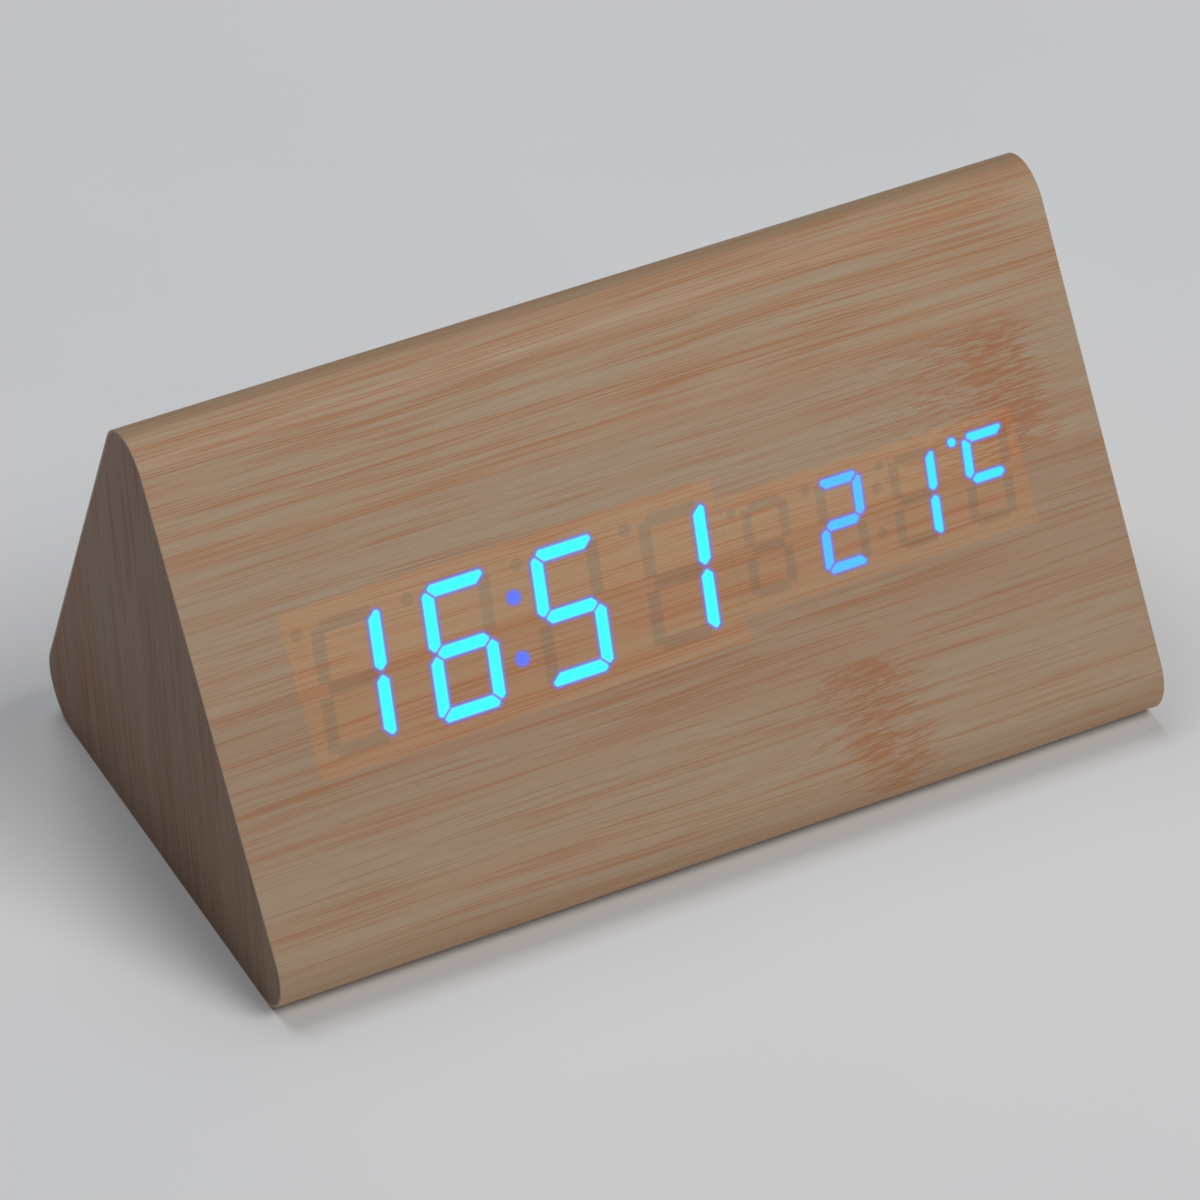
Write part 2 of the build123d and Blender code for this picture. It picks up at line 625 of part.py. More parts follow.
def battery_door():
    """A flat door with a round hinge edge, stub pins and a ribbed thumb recess at the free end."""
    far = MOUTH_LENGTH / 2 - DOOR_CLEAR
    width = MOUTH_WIDTH - 2 * DOOR_CLEAR
    plate = block(far - HINGE_PLACE, width, DOOR, TRAY_LIFT + DOOR)
    plate = fillet(plate.edges().group_by(Axis.Z)[0].sort_by(Axis.X)[1:], MOULD_ROUND)
    plate = Pos((HINGE_PLACE + far) / 2, 0, 0) * plate
    hinge = Pos(HINGE_PLACE, 0, HINGE_LEVEL) * Rot(90, 0, 0)
    door = plate + hinge * Cylinder(DOOR / 2, width)
    door += hinge * Cylinder(HINGE_PIN_RADIUS, width + 2 * HINGE_PIN_LENGTH)
    door -= Pos(far, 0, 0) * disc(THUMB_RADIUS, THUMB_DEPTH + TRAY_LIFT, THUMB_DEPTH + TRAY_LIFT)
    for index in range(THUMB_RIBS):
        place = far - THUMB_RIB_PITCH * (index + 1)
        door += Pos(place, 0, 0) * block(THUMB_RIB, THUMB_RADIUS, THUMB_DEPTH, THUMB_DEPTH + TRAY_LIFT)
    return door


def cell_rows():
    """Each cell's place across the bay and the way that its raised end points."""
    step = CELL_DIAMETER + CELL_GAP
    return [((i - (CELL_COUNT - 1) / 2) * step, 1 if i % 2 else -1) for i in range(CELL_COUNT)]


def battery_cell(place, way):
    can_length = CELL_LENGTH - CELL_NUB
    can = Cylinder(CELL_DIAMETER / 2, can_length, align=(Align.CENTER, Align.CENTER, Align.MIN))
    nub = Cylinder(CELL_NUB_DIAMETER / 2, CELL_LENGTH, align=(Align.CENTER, Align.CENTER, Align.MIN))
    flat_end = -way * (BAY_LENGTH / 2 - CONTACT - SPRING_ROOM)
    return Pos(flat_end, place, CELL_LEVEL) * Rot(0, way * 90, 0) * (can + nub)


def contact_plate(side):
    plate = Box(CONTACT, BAY_WIDTH - 2 * CELL_GAP, CONTACT_HEIGHT)
    return Pos(side * (BAY_LENGTH - CONTACT) / 2, 0, CELL_LEVEL) * plate


def leaf_spring(place, way):
    """A bowed strip between a contact plate and a cell's flat end."""
    bow = SPRING_ROOM - LEAF_GAP
    half = LEAF_SPAN / 2
    edge = Polyline((0, half - LEAF), (0, half)) + ThreePointArc((0, half), (bow, 0), (0, -half))
    edge += Polyline((0, -half), (0, LEAF - half))
    edge += ThreePointArc((0, LEAF - half), (bow - LEAF, 0), (0, half - LEAF))
    strip = extrude(make_face(edge), amount=LEAF_WIDTH / 2, both=True)
    turn = Rot(90, 0, 0) if way > 0 else Rot(0, 0, 180) * Rot(90, 0, 0)
    return Pos(-way * (BAY_LENGTH / 2 - CONTACT), place, CELL_LEVEL) * turn * strip


def battery_lead(index):
    """A wire from the tray's roof to the control board's inner face, in one plane across the case."""
    place = TRAY_LENGTH / 2 - LEAD_END - index * LEAD_PITCH
    foot = (place, TRAY_WIDTH / 2 - LEAD_STEP, TRAY_TOP)
    board_frame = on_control_board((-place, 0.0))
    bend = (place, foot[1], TRAY_TOP + LEAD_RISE)
    points = [foot, bend, place_of(board_frame, LEAD_RISE), place_of(board_frame, 0)]
    return route(points, Circle(LEAD_RADIUS))


os.makedirs("parts", exist_ok=True)

save("case_core", case_core())
save("wrap_film", wrap_film())
save("base_film", base_film())
for side, word in ((-1, "left"), (1, "right")):
    save(word + "_end_panel", end_panel(side))
    save(word + "_end_film", end_film(side))

for word, display in (("time", TIME), ("temperature", TEMPERATURE)):
    lights = display_lights(display)
    save(word + "_display_block", display_housing(display, lights))
    save(word + "_lit_bars", group(solid for solid, lit in lights if lit))
    save(word + "_unlit_bars", group(solid for solid, lit in lights if not lit))
pin_length = BOARD + PIN_STAND_OUT
save("display_pins", group(place * block(PIN, PIN, pin_length) for place in PIN_PLACES))
save("display_board", display_board())
save("display_board_screws", group(place * board_screw() for place in DISPLAY_SCREWS))
save("controller_chip", controller_chip())
save("clock_crystal", clock_crystal())
save("backup_cell_holder", backup_cell_holder())
save("backup_cell", backup_cell())
save("cable_connectors", connectors())
save("flat_cable", flat_cable())

save("control_panel", control_panel())
save("control_panel_screws", group(place * screw(-PANEL_RECESS) for place in PANEL_SCREWS))
for word, place in KEY_PLACES.items():
    save(word + "_key", key_cap(place))
    save(word + "_key_plunger", key_plunger(place))
save("key_switches", group(key_switch(place) for place in KEY_PLACES.values()))
save("control_board", control_board())
save("control_board_screws", group(place * board_screw() for place in CONTROL_SCREWS))
save("power_jack", power_jack())
save("power_jack_pin", power_jack_pin())
save("temperature_sensor", temperature_sensor())
save("buzzer", buzzer())
save("microphone", microphone())

save("battery_tray", battery_tray())
save("tray_screws", group(place * screw(0) for place in TRAY_SCREWS))
save("battery_door", battery_door())
save("battery_cells", group(battery_cell(*row) for row in cell_rows()))
save("contact_plates", group(contact_plate(side) for side in (-1, 1)))
save("contact_springs", group(leaf_spring(*row) for row in cell_rows()))
save("battery_leads", group(battery_lead(index) for index in range(LEAD_COUNT)))
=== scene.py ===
# %% [markdown]
# # A wooden alarm clock that shows its digits through the wood
#
# The clock is a rounded triangular prism of fibreboard in a printed bamboo film. The solid parts come from
# the CAD frame, at their real size. This lesson dresses them: it builds the film round the case, lights the
# digits, gives every piece its finish, and sets up the camera, the floor and the light.

# %% Load the frame
import json
import math

import bmesh
import bpy
from mathutils import Matrix, Vector


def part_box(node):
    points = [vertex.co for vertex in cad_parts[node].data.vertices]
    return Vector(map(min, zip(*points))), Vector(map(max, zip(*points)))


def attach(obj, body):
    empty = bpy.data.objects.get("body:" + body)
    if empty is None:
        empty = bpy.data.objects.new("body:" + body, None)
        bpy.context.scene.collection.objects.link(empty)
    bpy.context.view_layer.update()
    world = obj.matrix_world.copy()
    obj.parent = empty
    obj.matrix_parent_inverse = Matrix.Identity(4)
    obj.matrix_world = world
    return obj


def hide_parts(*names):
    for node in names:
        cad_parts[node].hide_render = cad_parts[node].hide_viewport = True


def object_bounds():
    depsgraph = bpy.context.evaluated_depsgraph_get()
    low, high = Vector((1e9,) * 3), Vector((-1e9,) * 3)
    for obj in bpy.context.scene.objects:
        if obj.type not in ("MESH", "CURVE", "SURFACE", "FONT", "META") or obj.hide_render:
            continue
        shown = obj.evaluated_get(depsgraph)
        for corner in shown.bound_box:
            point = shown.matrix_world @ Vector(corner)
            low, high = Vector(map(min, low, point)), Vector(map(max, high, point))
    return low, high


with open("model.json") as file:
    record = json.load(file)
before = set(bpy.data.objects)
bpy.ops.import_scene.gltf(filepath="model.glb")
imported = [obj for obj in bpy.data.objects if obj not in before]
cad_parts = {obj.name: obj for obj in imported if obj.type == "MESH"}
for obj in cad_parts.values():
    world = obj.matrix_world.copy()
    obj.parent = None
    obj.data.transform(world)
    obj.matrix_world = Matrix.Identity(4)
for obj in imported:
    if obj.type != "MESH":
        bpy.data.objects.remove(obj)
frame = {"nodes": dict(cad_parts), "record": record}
cad_low, cad_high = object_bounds()
nodes = frame["nodes"]
print("loaded", len(nodes), "pieces, box", [round(v * 1000, 1) for v in cad_high - cad_low], "mm")

# %% [markdown]
# ## The case's own geometry
#
# Everything on the sloping faces is easier to place in the face's own directions than in X, Y and Z. The
# case is a triangle whose three edges are rounded by the same radius, so three arc centres describe it. From
# them come the slope, and a matrix for the front and one for the back: X along the face, Y up the slope and
# Z outwards.

# %% Case sizes and face matrices
MM = 0.001
CASE_DEPTH = 89.6 * MM
CASE_HEIGHT = 79.6 * MM
EDGE_RADIUS = 7.6 * MM

case_length = cad_high.x - cad_low.x
half_base = CASE_DEPTH / 2 - EDGE_RADIUS
apex = CASE_HEIGHT - EDGE_RADIUS
slope = math.atan2(apex - EDGE_RADIUS, half_base)
flat = (apex - EDGE_RADIUS) / math.sin(slope)


def face_matrix(side):
    """The outer face of the front (side -1) or the back (side 1), from its middle."""
    out = Vector((0, side * math.sin(slope), math.cos(slope)))
    along = Vector((-side, 0, 0))
    middle = Vector((0, side * half_base / 2, (EDGE_RADIUS + apex) / 2)) + out * EDGE_RADIUS
    turn = Matrix((along, out.cross(along), out)).transposed()
    return Matrix.Translation(middle) @ turn.to_4x4()


front = face_matrix(-1)
back = face_matrix(1)
print("slope", round(math.degrees(slope), 1), "degrees, flat face", round(flat / MM, 1), "mm wide")

# %% [markdown]
# ## The camera
#
# A long lens a little over a metre away, looking down from the front left, gives the flat perspective of a
# product photograph. The camera's axes are written as three directions, which fixes its roll as well.

# %% Camera
EYE = Vector((-349.4, -773.2, 651.8)) * MM
RIGHT = Vector((0.89708, -0.43987, -0.04205))
AHEAD = Vector((0.33094, 0.73187, -0.59569))
LENS = 204.7

camera_data = bpy.data.cameras.new("camera")
camera_data.lens = LENS
camera_data.sensor_width = 36.0
camera_data.clip_start = 0.05
camera_data.clip_end = 50.0
camera = bpy.data.objects.new("camera", camera_data)
axes = Matrix((RIGHT, RIGHT.cross(AHEAD), -AHEAD)).transposed()
camera.matrix_world = Matrix.Translation(EYE) @ axes.to_4x4()
bpy.context.scene.collection.objects.link(camera)
bpy.context.scene.camera = camera
print("camera", round(EYE.length, 2), "m from the base")

# %% [markdown]
# ## Shader sums in plain Python
#
# A procedural finish is mostly arithmetic on coordinates. This small class wraps a node's output, so that
# `1 - mask` or `u * 3 + wobble` adds the Math nodes by itself. One method adds any other node.


# %% Shader helper
class Wire:
    """One output of a shader node. Python's operators on it add Math nodes."""

    def __init__(self, tree, socket=None):
        self.tree = tree
        self.socket = socket

    def node(self, kind, settings=None, inputs=None, output=0):
        """Add a node: its type, its settings, then the values or wires of its inputs."""
        made = self.tree.nodes.new("ShaderNode" + kind)
        for name, value in (settings or {}).items():
            if name == "stops":
                ramp = made.color_ramp
                while len(ramp.elements) < len(value):
                    ramp.elements.new(0.5)
                for element, (place, colour) in zip(ramp.elements, value):
                    element.position = place
                    element.color = (*colour, 1.0)
            elif name == "interpolation" and kind == "ValToRGB":
                made.color_ramp.interpolation = value
            else:
                setattr(made, name, value)
        for name, value in (inputs or {}).items():
            if isinstance(value, Wire):
                self.tree.links.new(value.socket, made.inputs[name])
            else:
                made.inputs[name].default_value = value
        return Wire(self.tree, made.outputs[output])

    def sum(self, operation, first, second=0.0):
        return self.node("Math", {"operation": operation}, {0: first, 1: second})

    def __add__(self, other):
        return self.sum("ADD", self, other)

    __radd__ = __add__

    def __mul__(self, other):
        return self.sum("MULTIPLY", self, other)

    __rmul__ = __mul__

    def __sub__(self, other):
        return self.sum("SUBTRACT", self, other)

    def __rsub__(self, other):
        return self.sum("SUBTRACT", other, self)

    def __truediv__(self, other):
        return self.sum("DIVIDE", self, other)

    def __rtruediv__(self, other):
        return self.sum("DIVIDE", other, self)

    def __abs__(self):
        return self.sum("ABSOLUTE", self)

    def low(self, other):
        return self.sum("MINIMUM", self, other)

    def high(self, other):
        return self.sum("MAXIMUM", self, other)

    def floor(self):
        return self.sum("FLOOR", self)

    def fraction(self):
        return self.sum("FRACT", self)

    def root(self):
        return self.sum("SQRT", self)

    def step(self, start, end, low=0.0, high=1.0):
        """A smooth step from low to high as the value goes from start to end."""
        return self.node("MapRange", {"interpolation_type": "SMOOTHSTEP"},
                         {"Value": self, "From Min": start, "From Max": end, "To Min": low, "To Max": high})

    def ramp(self, stops, interpolation="LINEAR"):
        return self.node("ValToRGB", {"stops": stops, "interpolation": interpolation}, {"Fac": self})

    def vector(self, x, y, z):
        return self.node("CombineXYZ", None, {"X": x, "Y": y, "Z": z})

    def parts(self):
        return [self.node("SeparateXYZ", None, {"Vector": self}, name) for name in ("X", "Y", "Z")]

    def noise(self, detail=2.0, roughness=0.5):
        return self.node("TexNoise", None,
                         {"Vector": self, "Scale": 1.0, "Detail": detail, "Roughness": roughness})

    def blend(self, factor, first, second, how="MIX"):
        """Mix two colours, each a wire or three numbers."""
        pair = [c if isinstance(c, Wire) else (*c, 1.0) for c in (first, second)]
        return self.node("Mix", {"data_type": "RGBA", "blend_type": how},
                         {0: factor, 6: pair[0], 7: pair[1]}, 2)


print("shader sums ready")


# %% Finish helpers
def new_finish(name, **constants):
    """A material with one Principled shader and its constant sockets, and a wire to start from."""
    material = bpy.data.materials.new(name)
    material.use_nodes = True
    shader = material.node_tree.nodes["Principled BSDF"]
    for socket, value in constants.items():
        shader.inputs[socket.replace("_", " ")].default_value = value
    return material, shader, Wire(material.node_tree)


def plug(shader, **wires):
    """Feed wires to a shader's sockets by name."""
    for socket, wire in wires.items():
        wire.tree.links.new(wire.socket, shader.inputs[socket.replace("_", " ")])


def bump(height, strength, distance):
    """The surface normal that a height gives."""
    return height.node("Bump", None, {"Height": height, "Strength": strength, "Distance": distance})


def object_place(start):
    """The object's own coordinates in millimetres, as three wires."""
    place = start.node("TexCoord", None, None, "Object")
    return [part / MM for part in place.parts()]


print("finish helpers ready")

# %% [markdown]
# ## The displays behind the film
#
# Two seven-segment blocks stand behind the film. Their outlines and digits follow the CAD blocks, so their
# sizes are read from the frame. Lit bars shine through, and the unlit ones and the blocks themselves show as
# faint shadows. Bars and shadows share these numbers, all in millimetres on the front face.

# %% Display sizes
SLANT_ANGLE = 7.2
DIGIT_SLANT = math.tan(math.radians(SLANT_ANGLE))
DISPLAY_DROP = 0.7
PITCH_SHARE = 0.2515
WIDTH_SHARE = 0.622
DOT_REACH_SHARE = 0.70


class Display:
    """One display block on the front face, in millimetres. A dot and a colon are a radius and a rise."""

    def __init__(self, node, height, digit_height, bar, dot, colon, shown):
        low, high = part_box(node)
        self.centre = (low.x + high.x) / 2 / MM
        self.length = (high.x - low.x) / MM
        self.height = height
        self.pitch = PITCH_SHARE * self.length
        self.width = WIDTH_SHARE * self.pitch
        self.digit_height = digit_height
        self.bar = bar
        self.dot_radius, self.dot_rise = dot
        self.colon_radius, self.colon_rise = colon
        self.shown = shown

    def digit_centre(self, index):
        return self.centre + (index - (len(self.shown) - 1) / 2) * self.pitch


time_display = Display("time_display_block", height=25.8, digit_height=20.7, bar=2.05,
                       dot=(1.0, 9.2), colon=(1.2, 4.6), shown="1651")
small_display = Display("temperature_display_block", height=18.5, digit_height=14.4, bar=1.6,
                        dot=(0.8, 6.5), colon=(0.85, 3.4), shown=" 21c")
for display in (time_display, small_display):
    print("display block", round(display.length, 1), "mm long, digit pitch", round(display.pitch, 2), "mm")

# %% [markdown]
# ## Bamboo, as a function of two lengths
#
# The film is printed with edge-glued bamboo slats: a grey-beige ground, soft orange bands, hair-thin brown
# lines along the grain, and here and there a node, where a torn dark core sits among short crowded dashes. A
# painted picture would do, but it would blur close up. Noise that is stretched along the grain stays sharp.
# The function works on any two lengths in millimetres: u along the grain and v across it, so the same print
# covers the case, the base and the ends.

# %% Print colours and sizes
GROUND = (0.405, 0.292, 0.186)
PALE = (0.425, 0.318, 0.212)
BAND = (0.418, 0.240, 0.130)
LINE = (0.385, 0.158, 0.060)
KNOT = (0.375, 0.165, 0.078)
SLAT = 22.2
SLAT_START = 0.4
# Each kind of slat in turn: how warm its ground is, how many lines and how many dashes it has
SLAT_KINDS = ((0.40, 0.65, 0.25), (0.65, 0.70, 0.25), (0.35, 0.65, 0.45), (0.65, 1.00, 0.30))
# Each kind of slat's tone: partly its own, partly painted shade that darkens the front towards its bottom
SLAT_TONES_AND_SHADE = ((0.90, 0.90, 0.90), (0.89, 0.86, 0.86), (0.96, 0.97, 1.00), (1.00, 1.00, 1.00))
KIND_SHIFT = 2.5
# Steps through the noise that keep one slat's pattern apart from the next one's
SLAT_STEP = 3.7

# The size of each pattern's features in millimetres, along the grain and across it
DRIFT_SIZE = (70.0, 18.0)
TINT_SIZE = (58.0, 1.8)
CROWD_SIZE = (34.0, 2.6)
HAIR_SIZE = (24.0, 0.25)
FAINT_SIZE = (9.0, 0.20)
WOBBLE_SIZE = (7.0, 1.6)
DASH_SIZE = (4.6, 0.36)
BLOTCH_SIZE = (2.6, 1.5)
DRIFT_REACH = 2.2
WOBBLE_REACH = 12.0
# How far a node's dashes and its core reach past its middle, in millimetres
DASH_TAIL = 14.0
CORE_BEFORE = (-8.0, -2.5)
CORE_AFTER = (4.0, 1.5)
JOINT_WIDTH = 0.3
print("slats", SLAT, "mm wide, hair lines about", HAIR_SIZE[1], "mm apart")


# %% Noise along the grain
def stretched(u, v, size, seed):
    """A place for noise whose grain runs along u, with features of the given size."""
    along, across = size
    return u.vector(u / along, v / across, seed)


def stepped(share, values):
    """Pick one of some evenly spread colours by a share from 0 to 1."""
    return share.ramp([(k / len(values), value) for k, value in enumerate(values)], "CONSTANT")


def node_marks(u, v, layer, nodes_at):
    """How near a node each place is, where its dark core lies and how far the grain leans there."""
    near, core, lean = 0.0, 0.0, 0.0
    wobble = stretched(u, v, WOBBLE_SIZE, layer + 7.7).noise(2.0, 0.6)
    for place, low, high, reach, tilt in nodes_at:
        inside = v.step(low, low + JOINT_WIDTH) * v.step(high, high - JOINT_WIDTH)
        gap = u - place + (wobble - 0.5) * WOBBLE_REACH
        near = gap.step(-reach, 0.0) * gap.step(DASH_TAIL, 1.0) * inside + near
        core = gap.step(*CORE_BEFORE) * gap.step(*CORE_AFTER) * inside + core
        lean = (u - place) * tilt * inside + lean
    return near, core, lean


print("grain helpers ready")


# %% Bamboo print
def bamboo(u, v, nodes_at=(), seed=0.0, lines=1.0):
    """The print's colour and its height, on u along the grain and v across it, in millimetres."""
    across = (v - SLAT_START) / SLAT
    slat = across.floor()
    share = ((slat + KIND_SHIFT) / len(SLAT_KINDS)).fraction()
    warm, lined, dashed = stepped(share, SLAT_KINDS).parts()
    layer = slat * SLAT_STEP + seed
    drift = stretched(u, v, DRIFT_SIZE, layer + 5.9).noise(0.0)
    grain = v + drift * DRIFT_REACH

    tint = stretched(u, grain, TINT_SIZE, layer).noise(3.0, 0.6)
    crowd = stretched(u, grain, CROWD_SIZE, layer + 1.3).noise(1.0)
    fine = stretched(u, grain, HAIR_SIZE, layer + 2.1).noise(2.0, 0.5)
    hair = (fine + tint * 0.2 + crowd * 0.2 + lined * 0.08).step(0.73, 0.93)
    faint = stretched(u, grain, FAINT_SIZE, layer + 4.4).noise(1.0, 0.6)

    near, core, lean = node_marks(u, v, layer, nodes_at)
    dash = stretched(u, grain - lean, DASH_SIZE, layer + 9.1).noise(2.0, 0.55)
    dashes = (dash + near * 0.14 + dashed * 0.03).step(0.60, 0.73)
    blotch = stretched(u, v, BLOTCH_SIZE, layer + 3.1).noise(2.0, 0.6)
    torn = (blotch * 0.5 + dash * 0.5).step(0.40, 0.60)

    colour = u.blend(faint.step(0.30, 0.72), GROUND, PALE)
    colour = u.blend(tint.step(0.36, 0.68) * (warm * 0.75 + 0.15), colour, BAND)
    colour = u.blend(core * (torn * 0.5 + 0.3), colour, BAND)
    colour = u.blend(core * torn * 0.55, colour, KNOT)
    colour = u.blend(hair * ((lined * 0.3 + 0.45) * lines), colour, LINE)
    colour = u.blend(dashes * (near * 0.65 + 0.15), colour, LINE)
    margin = abs(across.fraction() - 0.5)
    colour = u.blend(margin.step(0.36, 0.49) * warm * 0.5, colour, BAND)
    colour = u.blend(margin.step(0.490, 0.5) * 0.35, colour, LINE)
    # Slat tones: partly the slats' own tone, partly painted shade, darker towards the bottom of the front
    colour = u.blend(1.0, colour, stepped(share, SLAT_TONES_AND_SHADE), "MULTIPLY")
    height = faint * 0.5 - hair * 0.5 - dashes * 0.3
    return colour, height


print("bamboo print ready, with", len(SLAT_KINDS), "kinds of slat")

# %% [markdown]
# ## What shows through the film
#
# Where a block touches the film from behind, the film looks a little warmer, and its unlit bars look greyer.
# Neither is a shape on the outside, so both are part of the print. One digit drawn with distances is enough:
# folding the coordinate by the digit pitch repeats it, and taking absolute values mirrors one quarter of the
# figure 8 into all four.

# %% Shadows of the blocks and unlit bars
WARMED = (1.20, 1.02, 0.85)
GREYED = (0.79, 0.885, 0.97)
GREY_SHARE = 0.95
FILM_BLUR = 0.22


def soft_inside(distance):
    """One inside a shape and zero outside, with the film's blur at its edge."""
    return distance.step(-FILM_BLUR, FILM_BLUR)


def block_shadow(u, v, display):
    """Masks of a display block and of all its bars and dots, on the front face."""
    x = u - display.centre
    y = v + DISPLAY_DROP
    block = (display.length / 2 - abs(x)).low(display.height / 2 - abs(y))

    lean = x - y * DIGIT_SLANT
    cell = ((lean / display.pitch).fraction() - 0.5) * display.pitch
    bar, across, up = display.bar / 2, display.width / 2, display.digit_height / 2
    side, rise = abs(cell), abs(y)
    upright = (bar - abs(side - (across - bar))).low(up / 2 - bar - abs(rise - up / 2))
    lying = (bar - abs(rise - (up - bar))).low(across - 1.5 * bar - side)
    middle = (bar - rise).low(across - 1.5 * bar - side)
    dot_x = cell + DOT_REACH_SHARE * display.width
    dot_y = y - display.dot_rise
    dot = display.dot_radius - (dot_x * dot_x + dot_y * dot_y).root()
    colon_y = rise - display.colon_rise
    colon = display.colon_radius - (lean * lean + colon_y * colon_y).root()
    bars = upright.high(lying).high(middle).high(dot).high(colon)
    return soft_inside(block), soft_inside(bars.low(block))


def through_film(u, v, colour):
    """The film's colour with the display blocks showing through it."""
    for display in (time_display, small_display):
        block, bars = block_shadow(u, v, display)
        colour = u.blend(block, colour, u.blend(1.0, colour, WARMED, "MULTIPLY"))
        colour = u.blend(bars * GREY_SHARE, colour, u.blend(1.0, colour, GREYED, "MULTIPLY"))
    return colour


print("display shadows ready")

# %% [markdown]
# ## The film's finish
#
# The film has a satin skin with a very slight relief along the grain, and its cut edge at the ends shows the
# paler core of the sheet. The print could be laid on by Object coordinates, but it would stretch round the
# edges, so it reads the film's own UV map, turned into millimetres.

# %% Wrap film finish
# Each node of the front: its place along the grain, its slat's borders, its dashes' reach and their lean
FRONT_NODES = (
    (62.0, SLAT_START, SLAT_START + SLAT, 42.0, 0.0),
    (28.5, SLAT_START - 2 * SLAT, SLAT_START - SLAT, 20.0, 0.07),
)
WRAP_SEED = 2.0
WRAP_RELIEF = 0.15
GRAIN_DEPTH = 0.03 * MM
CUT_DARK = (0.42, 0.33, 0.25)
CUT_LIGHT = (0.55, 0.45, 0.36)


def wrap_finish():
    material, shader, start = new_finish("bamboo_film", Specular_IOR_Level=0.4)
    place = start.node("UVMap", {"uv_map": "film"})
    u, v = [part / MM for part in place.parts()[:2]]
    colour, height = bamboo(u, v, FRONT_NODES, seed=WRAP_SEED)
    plug(shader, Base_Color=through_film(u, v, colour), Roughness=height.step(-0.4, 0.5, 0.56, 0.48),
         Normal=bump(height, WRAP_RELIEF, GRAIN_DEPTH))
    return material


def cut_edge_finish():
    material, shader, start = new_finish("film_cut_edge", Specular_IOR_Level=0.3)
    x, y, z = object_place(start)
    fuzz = x.vector(x * 8.0, y * 3.0, z * 3.0).noise(3.0)
    plug(shader, Base_Color=fuzz.ramp([(0.3, CUT_DARK), (0.7, CUT_LIGHT)]),
         Roughness=fuzz.step(0.2, 0.8, 0.6, 0.75))
    return material


film_finishes = (wrap_finish(), cut_edge_finish())
print("film finishes:", [m.name for m in film_finishes])

# %% [markdown]
# ## The wrap film
#
# On the real clock one sheet of film runs up the front, over the top and down the back, round both lower
# edges. A bevelled prism would only come close to round corners, so the section is drawn by spinning one
# vertex about each arc centre, and then pulled along X. A narrow strip at each end of a straight keeps the
# flat faces' shading flat. Each vertex remembers how far along the sheet it is, and that length becomes the
# film's UV map, so the print bends round the edges as a real sheet does.

# %% Section of the sheet
ARC_STEPS = 40
HOLD = 0.3 * MM


def spin_on(bm, last, centre, angle):
    """Carry the section on round an arc centre, given as (y, z), and return the new end."""
    made = bmesh.ops.spin(bm, geom=[last], cent=(0, *centre), axis=(1, 0, 0), dvec=(0, 0, 0),
                          angle=angle, steps=ARC_STEPS, use_merge=False, use_duplicate=False)
    return [v for v in made["geom_last"] if isinstance(v, bmesh.types.BMVert)][0]


def run_on(bm, last, way):
    """Carry the section on along a straight, held flat by a narrow strip at each end."""
    for length in (HOLD, way.length - 2 * HOLD, HOLD):
        last = bmesh.ops.extrude_vert_indiv(bm, verts=[last])["verts"][0]
        bmesh.ops.translate(bm, verts=[last], vec=way.normalized() * length)
    return last


def film_section(bm):
    """The sheet's section from its front lower end to its back lower end."""
    first = bm.verts.new((-case_length / 2, -half_base, 0))
    lower_turn = math.pi - slope
    up = Vector((0, math.cos(slope), math.sin(slope))) * flat
    down = Vector((0, math.cos(slope), -math.sin(slope))) * flat
    end = spin_on(bm, first, (-half_base, EDGE_RADIUS), -lower_turn)
    end = run_on(bm, end, up)
    end = spin_on(bm, end, (0, apex), -2 * slope)
    end = run_on(bm, end, down)
    spin_on(bm, end, (half_base, EDGE_RADIUS), -lower_turn)
    return first


def measure_along(first, way):
    """Store each vertex's length along the sheet, from the middle of the front."""
    length = -EDGE_RADIUS * (math.pi - slope) - flat / 2
    vertex, edge = first, None
    while True:
        vertex[way] = length
        onward = [e for e in vertex.link_edges if e is not edge]
        if not onward:
            return
        edge = onward[0]
        length += edge.calc_length()
        vertex = edge.other_vert(vertex)


bm = bmesh.new()
way = bm.verts.layers.float.new("way")
measure_along(film_section(bm), way)
print("section drawn with", len(bm.verts), "vertices")

# %% Pull the sheet along the case
FILM = 0.4 * MM

pulled = bmesh.ops.extrude_edge_only(bm, edges=bm.edges[:])
bmesh.ops.translate(bm, verts=[g for g in pulled["geom"] if isinstance(g, bmesh.types.BMVert)],
                    vec=(case_length, 0, 0))
bmesh.ops.recalc_face_normals(bm, faces=bm.faces)
outward = sum(f.normal.dot(f.calc_center_median() - Vector((0, 0, CASE_HEIGHT / 3))) for f in bm.faces)
if outward < 0:
    bmesh.ops.reverse_faces(bm, faces=bm.faces)
bmesh.ops.solidify(bm, geom=bm.faces[:], thickness=FILM)
sheet_length = 2 * EDGE_RADIUS * math.pi + 2 * flat
print("wrap film:", len(bm.faces), "faces, sheet", round(sheet_length / MM), "mm long")

# %% Wrap film UV map and object
CUT_EDGE = 1
FACES_SIDEWAYS = 0.9
SHARP_ANGLE = math.radians(35)


def finish_mesh(name, bm, *materials, smooth=True):
    """Turn a bmesh into an object that rides on nothing yet."""
    mesh = bpy.data.meshes.new(name)
    bm.to_mesh(mesh)
    bm.free()
    for material in materials:
        mesh.materials.append(material)
    mesh.polygons.foreach_set("use_smooth", [smooth] * len(mesh.polygons))
    if smooth:
        mesh.set_sharp_from_angle(angle=SHARP_ANGLE)
    piece = bpy.data.objects.new(name, mesh)
    bpy.context.scene.collection.objects.link(piece)
    return piece


film_map = bm.loops.layers.uv.new("film")
for face in bm.faces:
    if abs(face.normal.x) > FACES_SIDEWAYS:
        face.material_index = CUT_EDGE
    for loop in face.loops:
        loop[film_map].uv = (loop.vert.co.x, loop.vert[way])
wrap = finish_mesh("bamboo_wrap", bm, *film_finishes)
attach(wrap, "case")
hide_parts("wrap_film")
print("wrap film stands for the CAD film")

